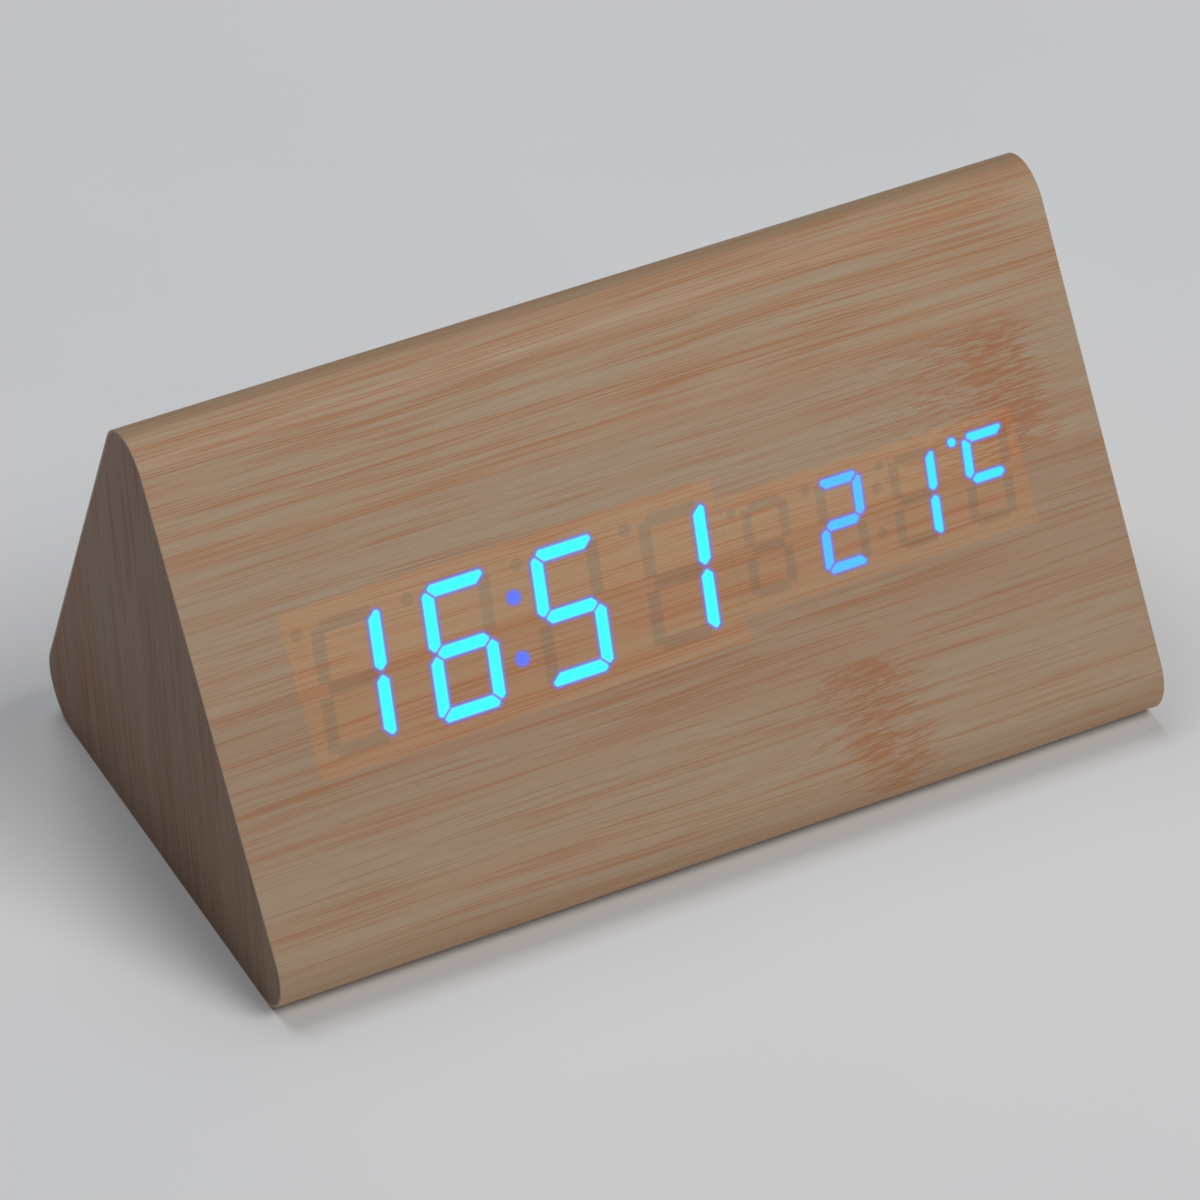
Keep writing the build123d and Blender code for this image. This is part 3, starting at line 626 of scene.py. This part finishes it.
# %% [markdown]
# ## The opening in the back
#
# The control panel sits in a rounded opening through the film and the board behind it. The sheet could be
# drawn with the hole already in it, but its faces would then have to follow the round corners. It is easier
# to cut a rounded block, a hair larger than the panel, out of the finished sheet with a Boolean modifier. The
# result is kept as the mesh, so no live modifier is left on the piece.

# %% Rounded block and cut
CORNER_SEGMENTS = 8


def rounded_block(length, width, depth, corner):
    """A block with four rounded upright edges, about the origin."""
    block = bmesh.new()
    bmesh.ops.create_cube(block, size=1.0)
    bmesh.ops.scale(block, verts=block.verts, vec=(length, width, depth))
    upright = [e for e in block.edges if abs(e.verts[0].co.z - e.verts[1].co.z) > depth / 2]
    bmesh.ops.bevel(block, geom=upright, offset=corner, offset_type="OFFSET", segments=CORNER_SEGMENTS,
                    profile=0.5, affect="EDGES", material=-1)
    return block


def cut_away(piece, cutter):
    """Take the cutter out of the piece and keep the result as the piece's mesh."""
    modifier = piece.modifiers.new("opening", "BOOLEAN")
    modifier.operation = "DIFFERENCE"
    modifier.solver = "EXACT"
    modifier.object = cutter
    depsgraph = bpy.context.evaluated_depsgraph_get()
    cut = bpy.data.meshes.new_from_object(piece.evaluated_get(depsgraph), depsgraph=depsgraph)
    piece.modifiers.clear()
    cut.set_sharp_from_angle(angle=SHARP_ANGLE)
    old, piece.data = piece.data, cut
    bpy.data.meshes.remove(old)
    bpy.data.objects.remove(cutter)


print("cutting helpers ready")

# %% Cut the panel opening
PANEL_THICKNESS = 2.0 * MM
PANEL_CORNER = 3.0 * MM
PANEL_FIT = 0.2 * MM
CUT_DEPTH = 8.0 * MM


def middle_of(node):
    low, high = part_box(node)
    return (low + high) / 2


def on_face(face, point):
    """A point's place along and up a sloping face, with its height left out."""
    place = face.inverted() @ point
    return Vector((place.x, place.y, 0))


panel_low, panel_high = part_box("control_panel")
panel_length = panel_high.x - panel_low.x
panel_width = (panel_high.z - panel_low.z - PANEL_THICKNESS * math.cos(slope)) / math.sin(slope)
panel_place = on_face(back, middle_of("control_panel"))
opening = rounded_block(panel_length + 2 * PANEL_FIT, panel_width + 2 * PANEL_FIT, CUT_DEPTH,
                        PANEL_CORNER + PANEL_FIT)
bmesh.ops.transform(opening, matrix=back @ Matrix.Translation(panel_place), verts=opening.verts)
for face in opening.faces:
    face.material_index = CUT_EDGE
cut_away(wrap, finish_mesh("panel_opening", opening, *film_finishes))
print("panel opening", round(panel_length / MM, 1), "by", round(panel_width / MM, 1), "mm")

# %% [markdown]
# ## The films on the ends and the base
#
# The ends carry the same print with its grain upright, made darker and browner as painted shade, and the base
# a plain sheet along it.
# New sheets could be modelled over them, but these flat CAD solids already have the right shape. Only their
# finish is made, and on a flat piece plain Object coordinates are enough for the print.

# %% End and base films
SHEET_RELIEF = 0.25
# Painted shade on both ends: their print is multiplied darker and browner by this colour
END_PAINTED_SHADE = (0.67, 0.58, 0.51)
NO_SHADE = (1.0, 1.0, 1.0)


def sheet_finish(name, grain, across, seed, lines, shade):
    """A bamboo film on a flat piece: which axis the grain follows and which one crosses it."""
    material, shader, start = new_finish(name, Specular_IOR_Level=0.35)
    place = dict(zip("xyz", object_place(start)))
    colour, height = bamboo(place[grain], place[across], seed=seed, lines=lines)
    # The shade colour multiplies the print: painted shade on the ends, none on the base
    plug(shader, Base_Color=start.blend(1.0, colour, shade, "MULTIPLY"),
         Roughness=height.step(-0.4, 0.5, 0.58, 0.48),
         Normal=bump(height, SHEET_RELIEF, GRAIN_DEPTH))
    return material


def dress(material, *names):
    """Give CAD nodes a finish."""
    for name in names:
        mesh = nodes[name].data
        mesh.materials.clear()
        mesh.materials.append(material)


end_sheet = sheet_finish("end_film", grain="z", across="y", seed=11.0, lines=1.5, shade=END_PAINTED_SHADE)
base_sheet = sheet_finish("base_film", grain="x", across="y", seed=23.0, lines=0.8, shade=NO_SHADE)
dress(end_sheet, "left_end_film", "right_end_film")
dress(base_sheet, "base_film")
print("end and base films finished")

# %% [markdown]
# ## The lit digits
#
# The film spreads the light of each lit bar: a bright core, a lighter edge, a blue rim and a haze that fades
# into the wood. A plain glowing bar would have a hard border, so each bar is a thin plate on the film. Its
# outline is the bar's six corners, with the right-angled tips cut, grown by the halo. Three insets give the
# rim and two steps of the core. The plate is a very low dome, and its underside sinks into the film, so that
# a ray meets only one see-through face. An attribute named fade holds 1 on the core and 0 at the outer border
# for the shader. The large digits have the wider halo.

# %% Corners of the lit bars
BAR_GAP = 0.14
TIP_SHARE = 0.33
LIT_BARS = {" ": "", "1": "bc", "2": "abdeg", "5": "acdfg", "6": "acdefg", "c": "afg"}


def bar_corners(display, bar):
    """The six corners of one bar of a digit, about the digit's middle, before it leans."""
    wide, high, thick = display.width / 2, display.digit_height / 2, display.bar
    tip = TIP_SHARE * thick
    lap = BAR_GAP
    left = -wide + lap
    top = high - lap
    if bar in "ad":
        half = [(left + thick, high - thick), (left + tip, high - tip), (left + 2 * tip, high)]
    elif bar == "g":
        half = [(left + thick, -thick / 2), (left + thick / 2, 0), (left + thick, thick / 2)]
    if bar in "adg":
        corners = half + [(-x, y) for x, y in reversed(half)]
    else:
        corners = [(-wide + thick, top - thick), (-wide + tip, top - tip), (-wide, top - 2 * tip),
                   (-wide, thick / 2 + lap), (-wide + thick / 2, lap), (-wide + thick, thick / 2 + lap)]
    across = -1 if bar in "bc" else 1
    upright = -1 if bar in "cde" else 1
    return [(across * x, upright * y) for x, y in corners]


def placed(display, index, corners):
    """A digit's corners on the front face, leaning."""
    shift = display.digit_centre(index)
    return [(x + shift + y * DIGIT_SLANT, y - DISPLAY_DROP) for x, y in corners]


def digit_bars(display, indices):
    """The corners of every lit bar of some digits."""
    return [placed(display, index, bar_corners(display, bar))
            for index in indices for bar in LIT_BARS[display.shown[index]]]


time_bars = digit_bars(time_display, range(4))
tens_bars = digit_bars(small_display, [1])
units_bars = digit_bars(small_display, [2, 3])
print("lit bars:", len(time_bars), "large and", len(tens_bars) + len(units_bars), "small")

# %% Outlines of the glow
LARGE_HALO = 0.80
SMALL_HALO = 0.64
DOT_HALO = 0.60
SWELL = -0.11
TIP_CUT = 0.30
TIP_COSINE = -0.4


def with_neighbours(points):
    """Each corner of a closed outline, between the one before it and the one after it."""
    return zip(points[-1:] + points[:-1], points, points[1:] + points[:1])


def grown(corners, by):
    """A convex outline with each side moved out."""
    points = [Vector(c) for c in corners]
    turn = sum(a.cross(b) for a, b in zip(points, points[1:] + points[:1]))
    if turn < 0:
        points.reverse()
    out = []
    for before, here, after in with_neighbours(points):
        sides = [(here - before).normalized(), (after - here).normalized()]
        normals = [Vector((side.y, -side.x)) for side in sides]
        out.append(here + (normals[0] + normals[1]) * (by / (1 + normals[0].dot(normals[1]))))
    return out


def blunted(corners):
    """An outline with its right-angled tips cut off, because the film's blur takes them."""
    points = [Vector(c) for c in corners]
    out = []
    for before, here, after in with_neighbours(points):
        back, onward = (before - here).normalized(), (after - here).normalized()
        if back.dot(onward) > TIP_COSINE:
            out += [here + back * TIP_CUT, here + onward * TIP_CUT]
        else:
            out.append(here)
    return out


print("halos", LARGE_HALO, "and", SMALL_HALO, "mm wide")

# %% Glowing plates
DOT_SIDES = 20
# Each inset after the halo: how deep it goes, and the fade on its inner border
HALO_FADE = 0.4
RINGS = ((0.12, 0.7), (0.30, 1.0))
LIFT = 0.01
PLATE = 0.05
PLATE_EDGE = 0.4
SINK = 0.10


def inset_glow(bm, face, halo):
    """Inset one plate's outline into its halo, rim and core, and mark how bright each border is."""
    fade = bm.verts.layers.float.get("fade")
    face.normal_update()
    for depth, level in ((halo, HALO_FADE), *RINGS):
        bmesh.ops.inset_region(bm, faces=[face], thickness=depth * MM, use_even_offset=True,
                               use_boundary=True)
        for vert in face.verts:
            vert[fade] = level


def glow_piece(name, finish, halo, bars, dots):
    """One piece of glowing plates on the front face: bars as corner lists, dots as (x, y, radius)."""
    bm = bmesh.new()
    fade = bm.verts.layers.float.new("fade")
    for corners in bars:
        outline = grown(blunted(corners), halo + SWELL)
        inset_glow(bm, bm.faces.new([bm.verts.new((x * MM, y * MM, LIFT * MM)) for x, y in outline]), halo)
    for x, y, radius in dots:
        ring = bmesh.ops.create_circle(bm, cap_ends=True, segments=DOT_SIDES,
                                       radius=(radius + SWELL + DOT_HALO) * MM,
                                       matrix=Matrix.Translation(Vector((x, y, LIFT)) * MM))
        inset_glow(bm, ring["verts"][0].link_faces[0], DOT_HALO)
    bottom = bm.verts[:]
    raised = bmesh.ops.extrude_face_region(bm, geom=bm.faces[:], use_keep_orig=True)
    for vert in [g for g in raised["geom"] if isinstance(g, bmesh.types.BMVert)]:
        vert.co.z += PLATE * MM * (PLATE_EDGE + (1 - PLATE_EDGE) * vert[fade])
    for vert in bottom:
        vert[fade] = 0.0
        vert.co.z = -SINK * MM
    bmesh.ops.recalc_face_normals(bm, faces=bm.faces)
    bmesh.ops.transform(bm, matrix=front, verts=bm.verts)
    piece = finish_mesh(name, bm, finish, smooth=False)
    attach(piece, "case")
    return piece


print("plates stand", round(PLATE + LIFT, 2), "mm off the film")

# %% Light colours
HAZE = (0.30, 0.215, 0.75)
RIM_BLUE = (0.16, 0.22, 0.86)
RIM_VIOLET = (0.20, 0.18, 0.72)
CYAN = (0.018, 1.0, 1.0)
CYAN_EDGE = (0.13, 0.76, 1.0)
SKY_BLUE = (0.020, 0.80, 1.0)
SKY_EDGE = (0.150, 0.50, 1.0)
MID_BLUE = (0.050, 0.52, 1.0)
MID_EDGE = (0.160, 0.37, 1.0)
VIOLET = (0.086, 0.158, 1.0)
VIOLET_EDGE = (0.12, 0.165, 0.85)
UNLIT_EDGE = (0.03, 0.025, 0.03)
UNLIT_CORE = (0.01, 0.01, 0.01)


def glow_finish(name, core, edge, rim):
    """Light from behind the film: the core's colour, its edge, the blue rim and a haze that fades out."""
    material, shader, start = new_finish(name, Roughness=0.5, Emission_Strength=1.0)
    fade = start.node("Attribute", {"attribute_name": "fade"}, None, "Fac")
    plug(shader, Base_Color=fade.ramp([(0.0, UNLIT_EDGE), (1.0, UNLIT_CORE)]),
         Emission_Color=fade.ramp([(0.0, HAZE), (0.12, HAZE), (0.29, rim), (0.48, edge), (0.85, core)]),
         Alpha=fade.step(0.0, 0.5))
    return material


time_light = glow_finish("time_light", CYAN, CYAN_EDGE, RIM_BLUE)
colon_light = glow_finish("colon_light", VIOLET, VIOLET_EDGE, RIM_VIOLET)
tens_light = glow_finish("tens_light", MID_BLUE, MID_EDGE, RIM_BLUE)
units_light = glow_finish("units_light", SKY_BLUE, SKY_EDGE, RIM_BLUE)
print("lights:", [m.name for m in (time_light, colon_light, tens_light, units_light)])

# %% Lit bars and dots
COLON_SHRINK = 0.10

colon_x, colon_y = time_display.centre, time_display.colon_rise
colon_lit = time_display.colon_radius - COLON_SHRINK
colon_dots = [(colon_x + side * colon_y * DIGIT_SLANT, side * colon_y - DISPLAY_DROP, colon_lit)
              for side in (-1, 1)]
degree_x = small_display.digit_centre(3) - DOT_REACH_SHARE * small_display.width
degree_y = small_display.dot_rise
degree_dot = (degree_x + degree_y * DIGIT_SLANT, degree_y - DISPLAY_DROP, small_display.dot_radius)

time_glow = glow_piece("time_glow", time_light, LARGE_HALO, time_bars, [])
colon_glow = glow_piece("colon_glow", colon_light, DOT_HALO, [], colon_dots)
tens_glow = glow_piece("tens_glow", tens_light, SMALL_HALO, tens_bars, [])
units_glow = glow_piece("units_glow", units_light, SMALL_HALO, units_bars, [degree_dot])
print("glow faces:", [len(p.data.polygons) for p in (time_glow, colon_glow, tens_glow, units_glow)])

# %% [markdown]
# ## The keys' marks
#
# The three keys on the back have plain raised signs: a ring for set, and an up and a down arrowhead. All
# three start from one operator, a filled circle: with many sides and an inset it is the ring, and with three
# sides it is an arrowhead. Each mark rides on its own key, so it travels when the key is pressed.

# %% Key marks
MARK_RADIUS = 1.5 * MM
MARK_HEIGHT = 0.15 * MM
MARK_SINK = 0.05 * MM
RING_WIDTH = 0.35 * MM
RING_SIDES = 32
ARROW_SIDES = 3


def key_mark(name, key, body, sides, turn, hollow):
    """A raised mark on a key: a polygon or a ring of so many sides."""
    bm = bmesh.new()
    bmesh.ops.create_circle(bm, cap_ends=True, segments=sides, radius=MARK_RADIUS)
    face = bm.faces[:]
    bm.normal_update()
    if hollow:
        bmesh.ops.inset_region(bm, faces=face, thickness=RING_WIDTH, use_even_offset=True, use_boundary=True)
        bmesh.ops.delete(bm, geom=face, context="FACES_ONLY")
    raised = bmesh.ops.extrude_face_region(bm, geom=bm.faces[:], use_keep_orig=True)
    top = [g for g in raised["geom"] if isinstance(g, bmesh.types.BMVert)]
    bmesh.ops.translate(bm, verts=top, vec=(0, 0, MARK_HEIGHT))
    bmesh.ops.recalc_face_normals(bm, faces=bm.faces)
    bmesh.ops.rotate(bm, cent=(0, 0, 0), matrix=Matrix.Rotation(turn, 3, "Z"), verts=bm.verts)
    highest = max((back.inverted() @ v.co).z for v in nodes[key].data.vertices)
    spot = on_face(back, middle_of(key)) + Vector((0, 0, highest - MARK_SINK))
    bmesh.ops.transform(bm, matrix=back @ Matrix.Translation(spot), verts=bm.verts)
    piece = finish_mesh(name, bm, smooth=False)
    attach(piece, body)
    return piece


marks = [
    key_mark("set_mark", "set_key", "set_key_body", RING_SIDES, turn=0.0, hollow=True),
    key_mark("up_mark", "up_key", "up_key_body", ARROW_SIDES, turn=0.0, hollow=False),
    key_mark("down_mark", "down_key", "down_key_body", ARROW_SIDES, turn=math.pi, hollow=False),
]
print("key marks:", [m.name for m in marks])

# %% [markdown]
# ## Finishes of the inner and back pieces
#
# The rest are plain moulded, metal and board parts. Five small functions make their finishes: moulded plastic
# has a fine spark-eroded grain, plated metal has soft streaks and smudges, a printed board has a mottled
# lacquer over faint tracks, fibreboard has pressed fibres and the lit bars glow. A flat grey would do from
# afar, but close up a small change in gloss is what tells one material from another. Each CAD node takes the
# finish of its slot in the record.


# %% Plastic and metal finishes
def scattered(place, rates, detail=2.0, roughness=0.5):
    """Noise on the object's own coordinates, with so many features per millimetre along X, Y and Z."""
    x, y, z = [part * rate for part, rate in zip(place, rates)]
    return x.vector(x, y, z).noise(detail, roughness)


def moulded(name, colour, grain=0.25, depth=0.02 * MM, rough=(0.45, 0.6)):
    """Moulded plastic: a fine grain, in millimetres, and slightly uneven gloss."""
    material, shader, start = new_finish(name, Specular_IOR_Level=0.45)
    place = object_place(start)
    spark = scattered(place, [1 / grain] * 3, 2.0, 0.6)
    cloud = scattered(place, [0.12] * 3, 3.0)
    light = tuple(c * 1.25 + 0.004 for c in colour)
    plug(shader, Base_Color=(spark * 0.5 + cloud * 0.5).ramp([(0.35, colour), (0.65, light)]),
         Roughness=cloud.step(0.3, 0.7, *rough), Normal=bump(spark, 0.35, depth))
    return material


def plated(name, colour, rough=(0.22, 0.4)):
    """Plated or drawn metal: fine streaks along Z and soft smudges."""
    material, shader, start = new_finish(name, Metallic=1.0)
    place = object_place(start)
    streak = scattered(place, (5.0, 5.0, 0.08), 3.0, 0.6)
    smudge = scattered(place, [0.3] * 3)
    dull = tuple(c * 0.82 for c in colour)
    plug(shader, Base_Color=smudge.ramp([(0.3, dull), (0.7, colour)]),
         Roughness=(streak * 0.6 + smudge * 0.4).step(0.3, 0.7, *rough), Normal=bump(streak, 0.1, 0.01 * MM))
    return material


print("plastic and metal ready")


# %% Board, fibre and light finishes
def lacquered_board(name, mask, track):
    """A printed board: green lacquer, a little lighter over its copper tracks."""
    material, shader, start = new_finish(name, Specular_IOR_Level=0.5, Coat_Roughness=0.15)
    place = object_place(start)
    x, y, z = place
    lane = (x * 0.8 + z * 0.35).fraction() - 0.5
    tracks = abs(lane).step(0.30, 0.22) * scattered(place, (0.12, 0.3, 0.3), 1.0).step(0.48, 0.52)
    mottle = scattered(place, [0.7] * 3, 3.0)
    worn_mask = mottle.ramp([(0.3, mask), (0.7, tuple(c * 1.3 for c in mask))])
    plug(shader, Base_Color=start.blend(tracks, worn_mask, track), Roughness=mottle.step(0.3, 0.7, 0.28, 0.4),
         Coat_Weight=mottle.step(0.2, 0.8, 0.2, 0.4), Normal=bump(tracks, 0.4, 0.04 * MM))
    return material


def pressed_fibre(name, dark, light):
    """Fibreboard: short pale and dark fibres pressed together."""
    material, shader, start = new_finish(name, Specular_IOR_Level=0.2)
    place = object_place(start)
    fibre = scattered(place, (0.9, 2.6, 2.6), 4.0, 0.65)
    cloud = scattered(place, [0.08] * 3)
    plug(shader, Base_Color=(fibre * 0.7 + cloud * 0.3).ramp([(0.32, dark), (0.68, light)]),
         Roughness=fibre.step(0.3, 0.7, 0.8, 0.92), Normal=bump(fibre, 0.6, 0.1 * MM))
    return material


def lit_epoxy(name, colour):
    """The lit bars inside the block, behind the film."""
    material, shader, start = new_finish(name, Roughness=0.4, Emission_Strength=1.0)
    cloud = scattered(object_place(start), [0.4] * 3)
    dim = tuple(c * 0.85 for c in colour)
    plug(shader, Base_Color=cloud.ramp([(0.3, (0.5, 0.5, 0.5)), (0.7, (0.6, 0.6, 0.6))]),
         Emission_Color=cloud.ramp([(0.3, dim), (0.7, colour)]))
    return material


print("board, fibre and light ready")

# %% Give every slot its finish
FINE = 0.01 * MM
MEDIUM = 0.03 * MM
COARSE = 0.04 * MM
finishes = {
    "fibreboard": pressed_fibre("fibreboard", dark=(0.17, 0.10, 0.05), light=(0.38, 0.26, 0.15)),
    "display_block": moulded("display_block", (0.012, 0.012, 0.013)),
    "lit_time": lit_epoxy("lit_time", CYAN),
    "lit_temperature": lit_epoxy("lit_temperature", SKY_BLUE),
    "unlit_bars": moulded("unlit_bars", (0.50, 0.49, 0.45), grain=0.5, depth=FINE, rough=(0.3, 0.42)),
    "tinned_metal": plated("tinned_metal", (0.62, 0.62, 0.60)),
    "circuit_board": lacquered_board("circuit_board", mask=(0.006, 0.060, 0.022), track=(0.03, 0.14, 0.05)),
    "screw_steel": plated("screw_steel", (0.55, 0.55, 0.53)),
    "screw_black": plated("screw_black", (0.045, 0.045, 0.048), rough=(0.35, 0.5)),
    "chip_black": moulded("chip_black", (0.010, 0.010, 0.011), grain=0.18),
    "black_plastic": moulded("black_plastic", (0.011, 0.011, 0.012), grain=0.3, depth=COARSE,
                             rough=(0.5, 0.62)),
    "key_plastic": moulded("key_plastic", (0.016, 0.016, 0.018), grain=0.6, depth=FINE, rough=(0.34, 0.44)),
    "white_plastic": moulded("white_plastic", (0.62, 0.61, 0.56), grain=0.5, depth=FINE, rough=(0.35, 0.5)),
    "cable_grey": moulded("cable_grey", (0.26, 0.26, 0.27), grain=0.8, depth=MEDIUM, rough=(0.5, 0.6)),
    "cell_metal": plated("cell_metal", (0.66, 0.66, 0.65)),
    "cell_jacket": moulded("cell_jacket", (0.030, 0.032, 0.036), grain=1.0, depth=FINE, rough=(0.22, 0.32)),
    "contact_brass": plated("contact_brass", (0.62, 0.42, 0.15)),
    "sensor_epoxy": moulded("sensor_epoxy", (0.006, 0.006, 0.006), grain=0.9, depth=FINE, rough=(0.2, 0.3)),
    "lead_red": moulded("lead_red", (0.25, 0.010, 0.008), grain=0.8, depth=FINE, rough=(0.35, 0.45)),
}
for subpart in frame["record"]["subparts"]:
    if subpart["material_slot"] in finishes:
        dress(finishes[subpart["material_slot"]], subpart["node"])
mark_finish = moulded("mark_white", (0.55, 0.55, 0.54), grain=0.4, depth=FINE, rough=(0.4, 0.5))
for mark in marks:
    mark.data.materials.append(mark_finish)
print("finished", len(finishes), "slots")

# %% [markdown]
# ## Floor and light
#
# A product is photographed on a plain pale floor. Daylight from the world alone would be flat, so one large
# soft light stands at the front right, a weaker one overhead and a small low one in front, which lifts the
# lower edge. The light is kept low, so that the lit digits still read as the brightest thing in the picture.

# %% Floor
FLOOR_HALF = 1.6
FLOOR_DIM = (0.785, 0.80, 0.82)
FLOOR_PALE = (0.805, 0.82, 0.84)


def floor_finish():
    material, shader, start = new_finish("floor_paint", Specular_IOR_Level=0.2)
    x, y, z = object_place(start)
    cloud = x.vector(x * 0.01, y * 0.01, z).noise(3.0)
    plug(shader, Base_Color=cloud.ramp([(0.3, FLOOR_DIM), (0.7, FLOOR_PALE)]),
         Roughness=cloud.step(0.3, 0.7, 0.7, 0.8))
    return material


bm = bmesh.new()
bmesh.ops.create_grid(bm, x_segments=1, y_segments=1, size=FLOOR_HALF)
floor = finish_mesh("floor", bm, floor_finish(), smooth=False)
print("floor", 2 * FLOOR_HALF, "m wide")

# %% Lights
AIM = Vector((0, 0, 0.04))
SKY_COLOUR = (0.97, 0.98, 1.0, 1.0)
SKY_STRENGTH = 0.06


def soft_light(name, place, size, watts, colour):
    """A round soft light that looks at the middle of the clock."""
    light = bpy.data.lights.new(name, "AREA")
    light.shape = "DISK"
    light.size = size
    light.energy = watts
    light.color = colour
    lamp = bpy.data.objects.new(name, light)
    lamp.location = place
    lamp.rotation_euler = (AIM - Vector(place)).to_track_quat("-Z", "Y").to_euler()
    bpy.context.scene.collection.objects.link(lamp)


soft_light("key_light", place=(0.54, -1.16, 1.53), size=1.0, watts=17.5, colour=(1.0, 0.98, 0.96))
soft_light("top_light", place=(-0.1, 0.6, 1.6), size=1.2, watts=11.0, colour=(0.98, 0.99, 1.0))
soft_light("low_light", place=(0.5, -1.4, 0.18), size=0.25, watts=3.2, colour=(1.0, 1.0, 1.0))
world = bpy.data.worlds.new("studio")
world.use_nodes = True
sky = world.node_tree.nodes["Background"]
sky.inputs["Color"].default_value = SKY_COLOUR
sky.inputs["Strength"].default_value = SKY_STRENGTH
bpy.context.scene.world = world
bpy.context.scene.view_settings.view_transform = "Standard"
print("lights ready")
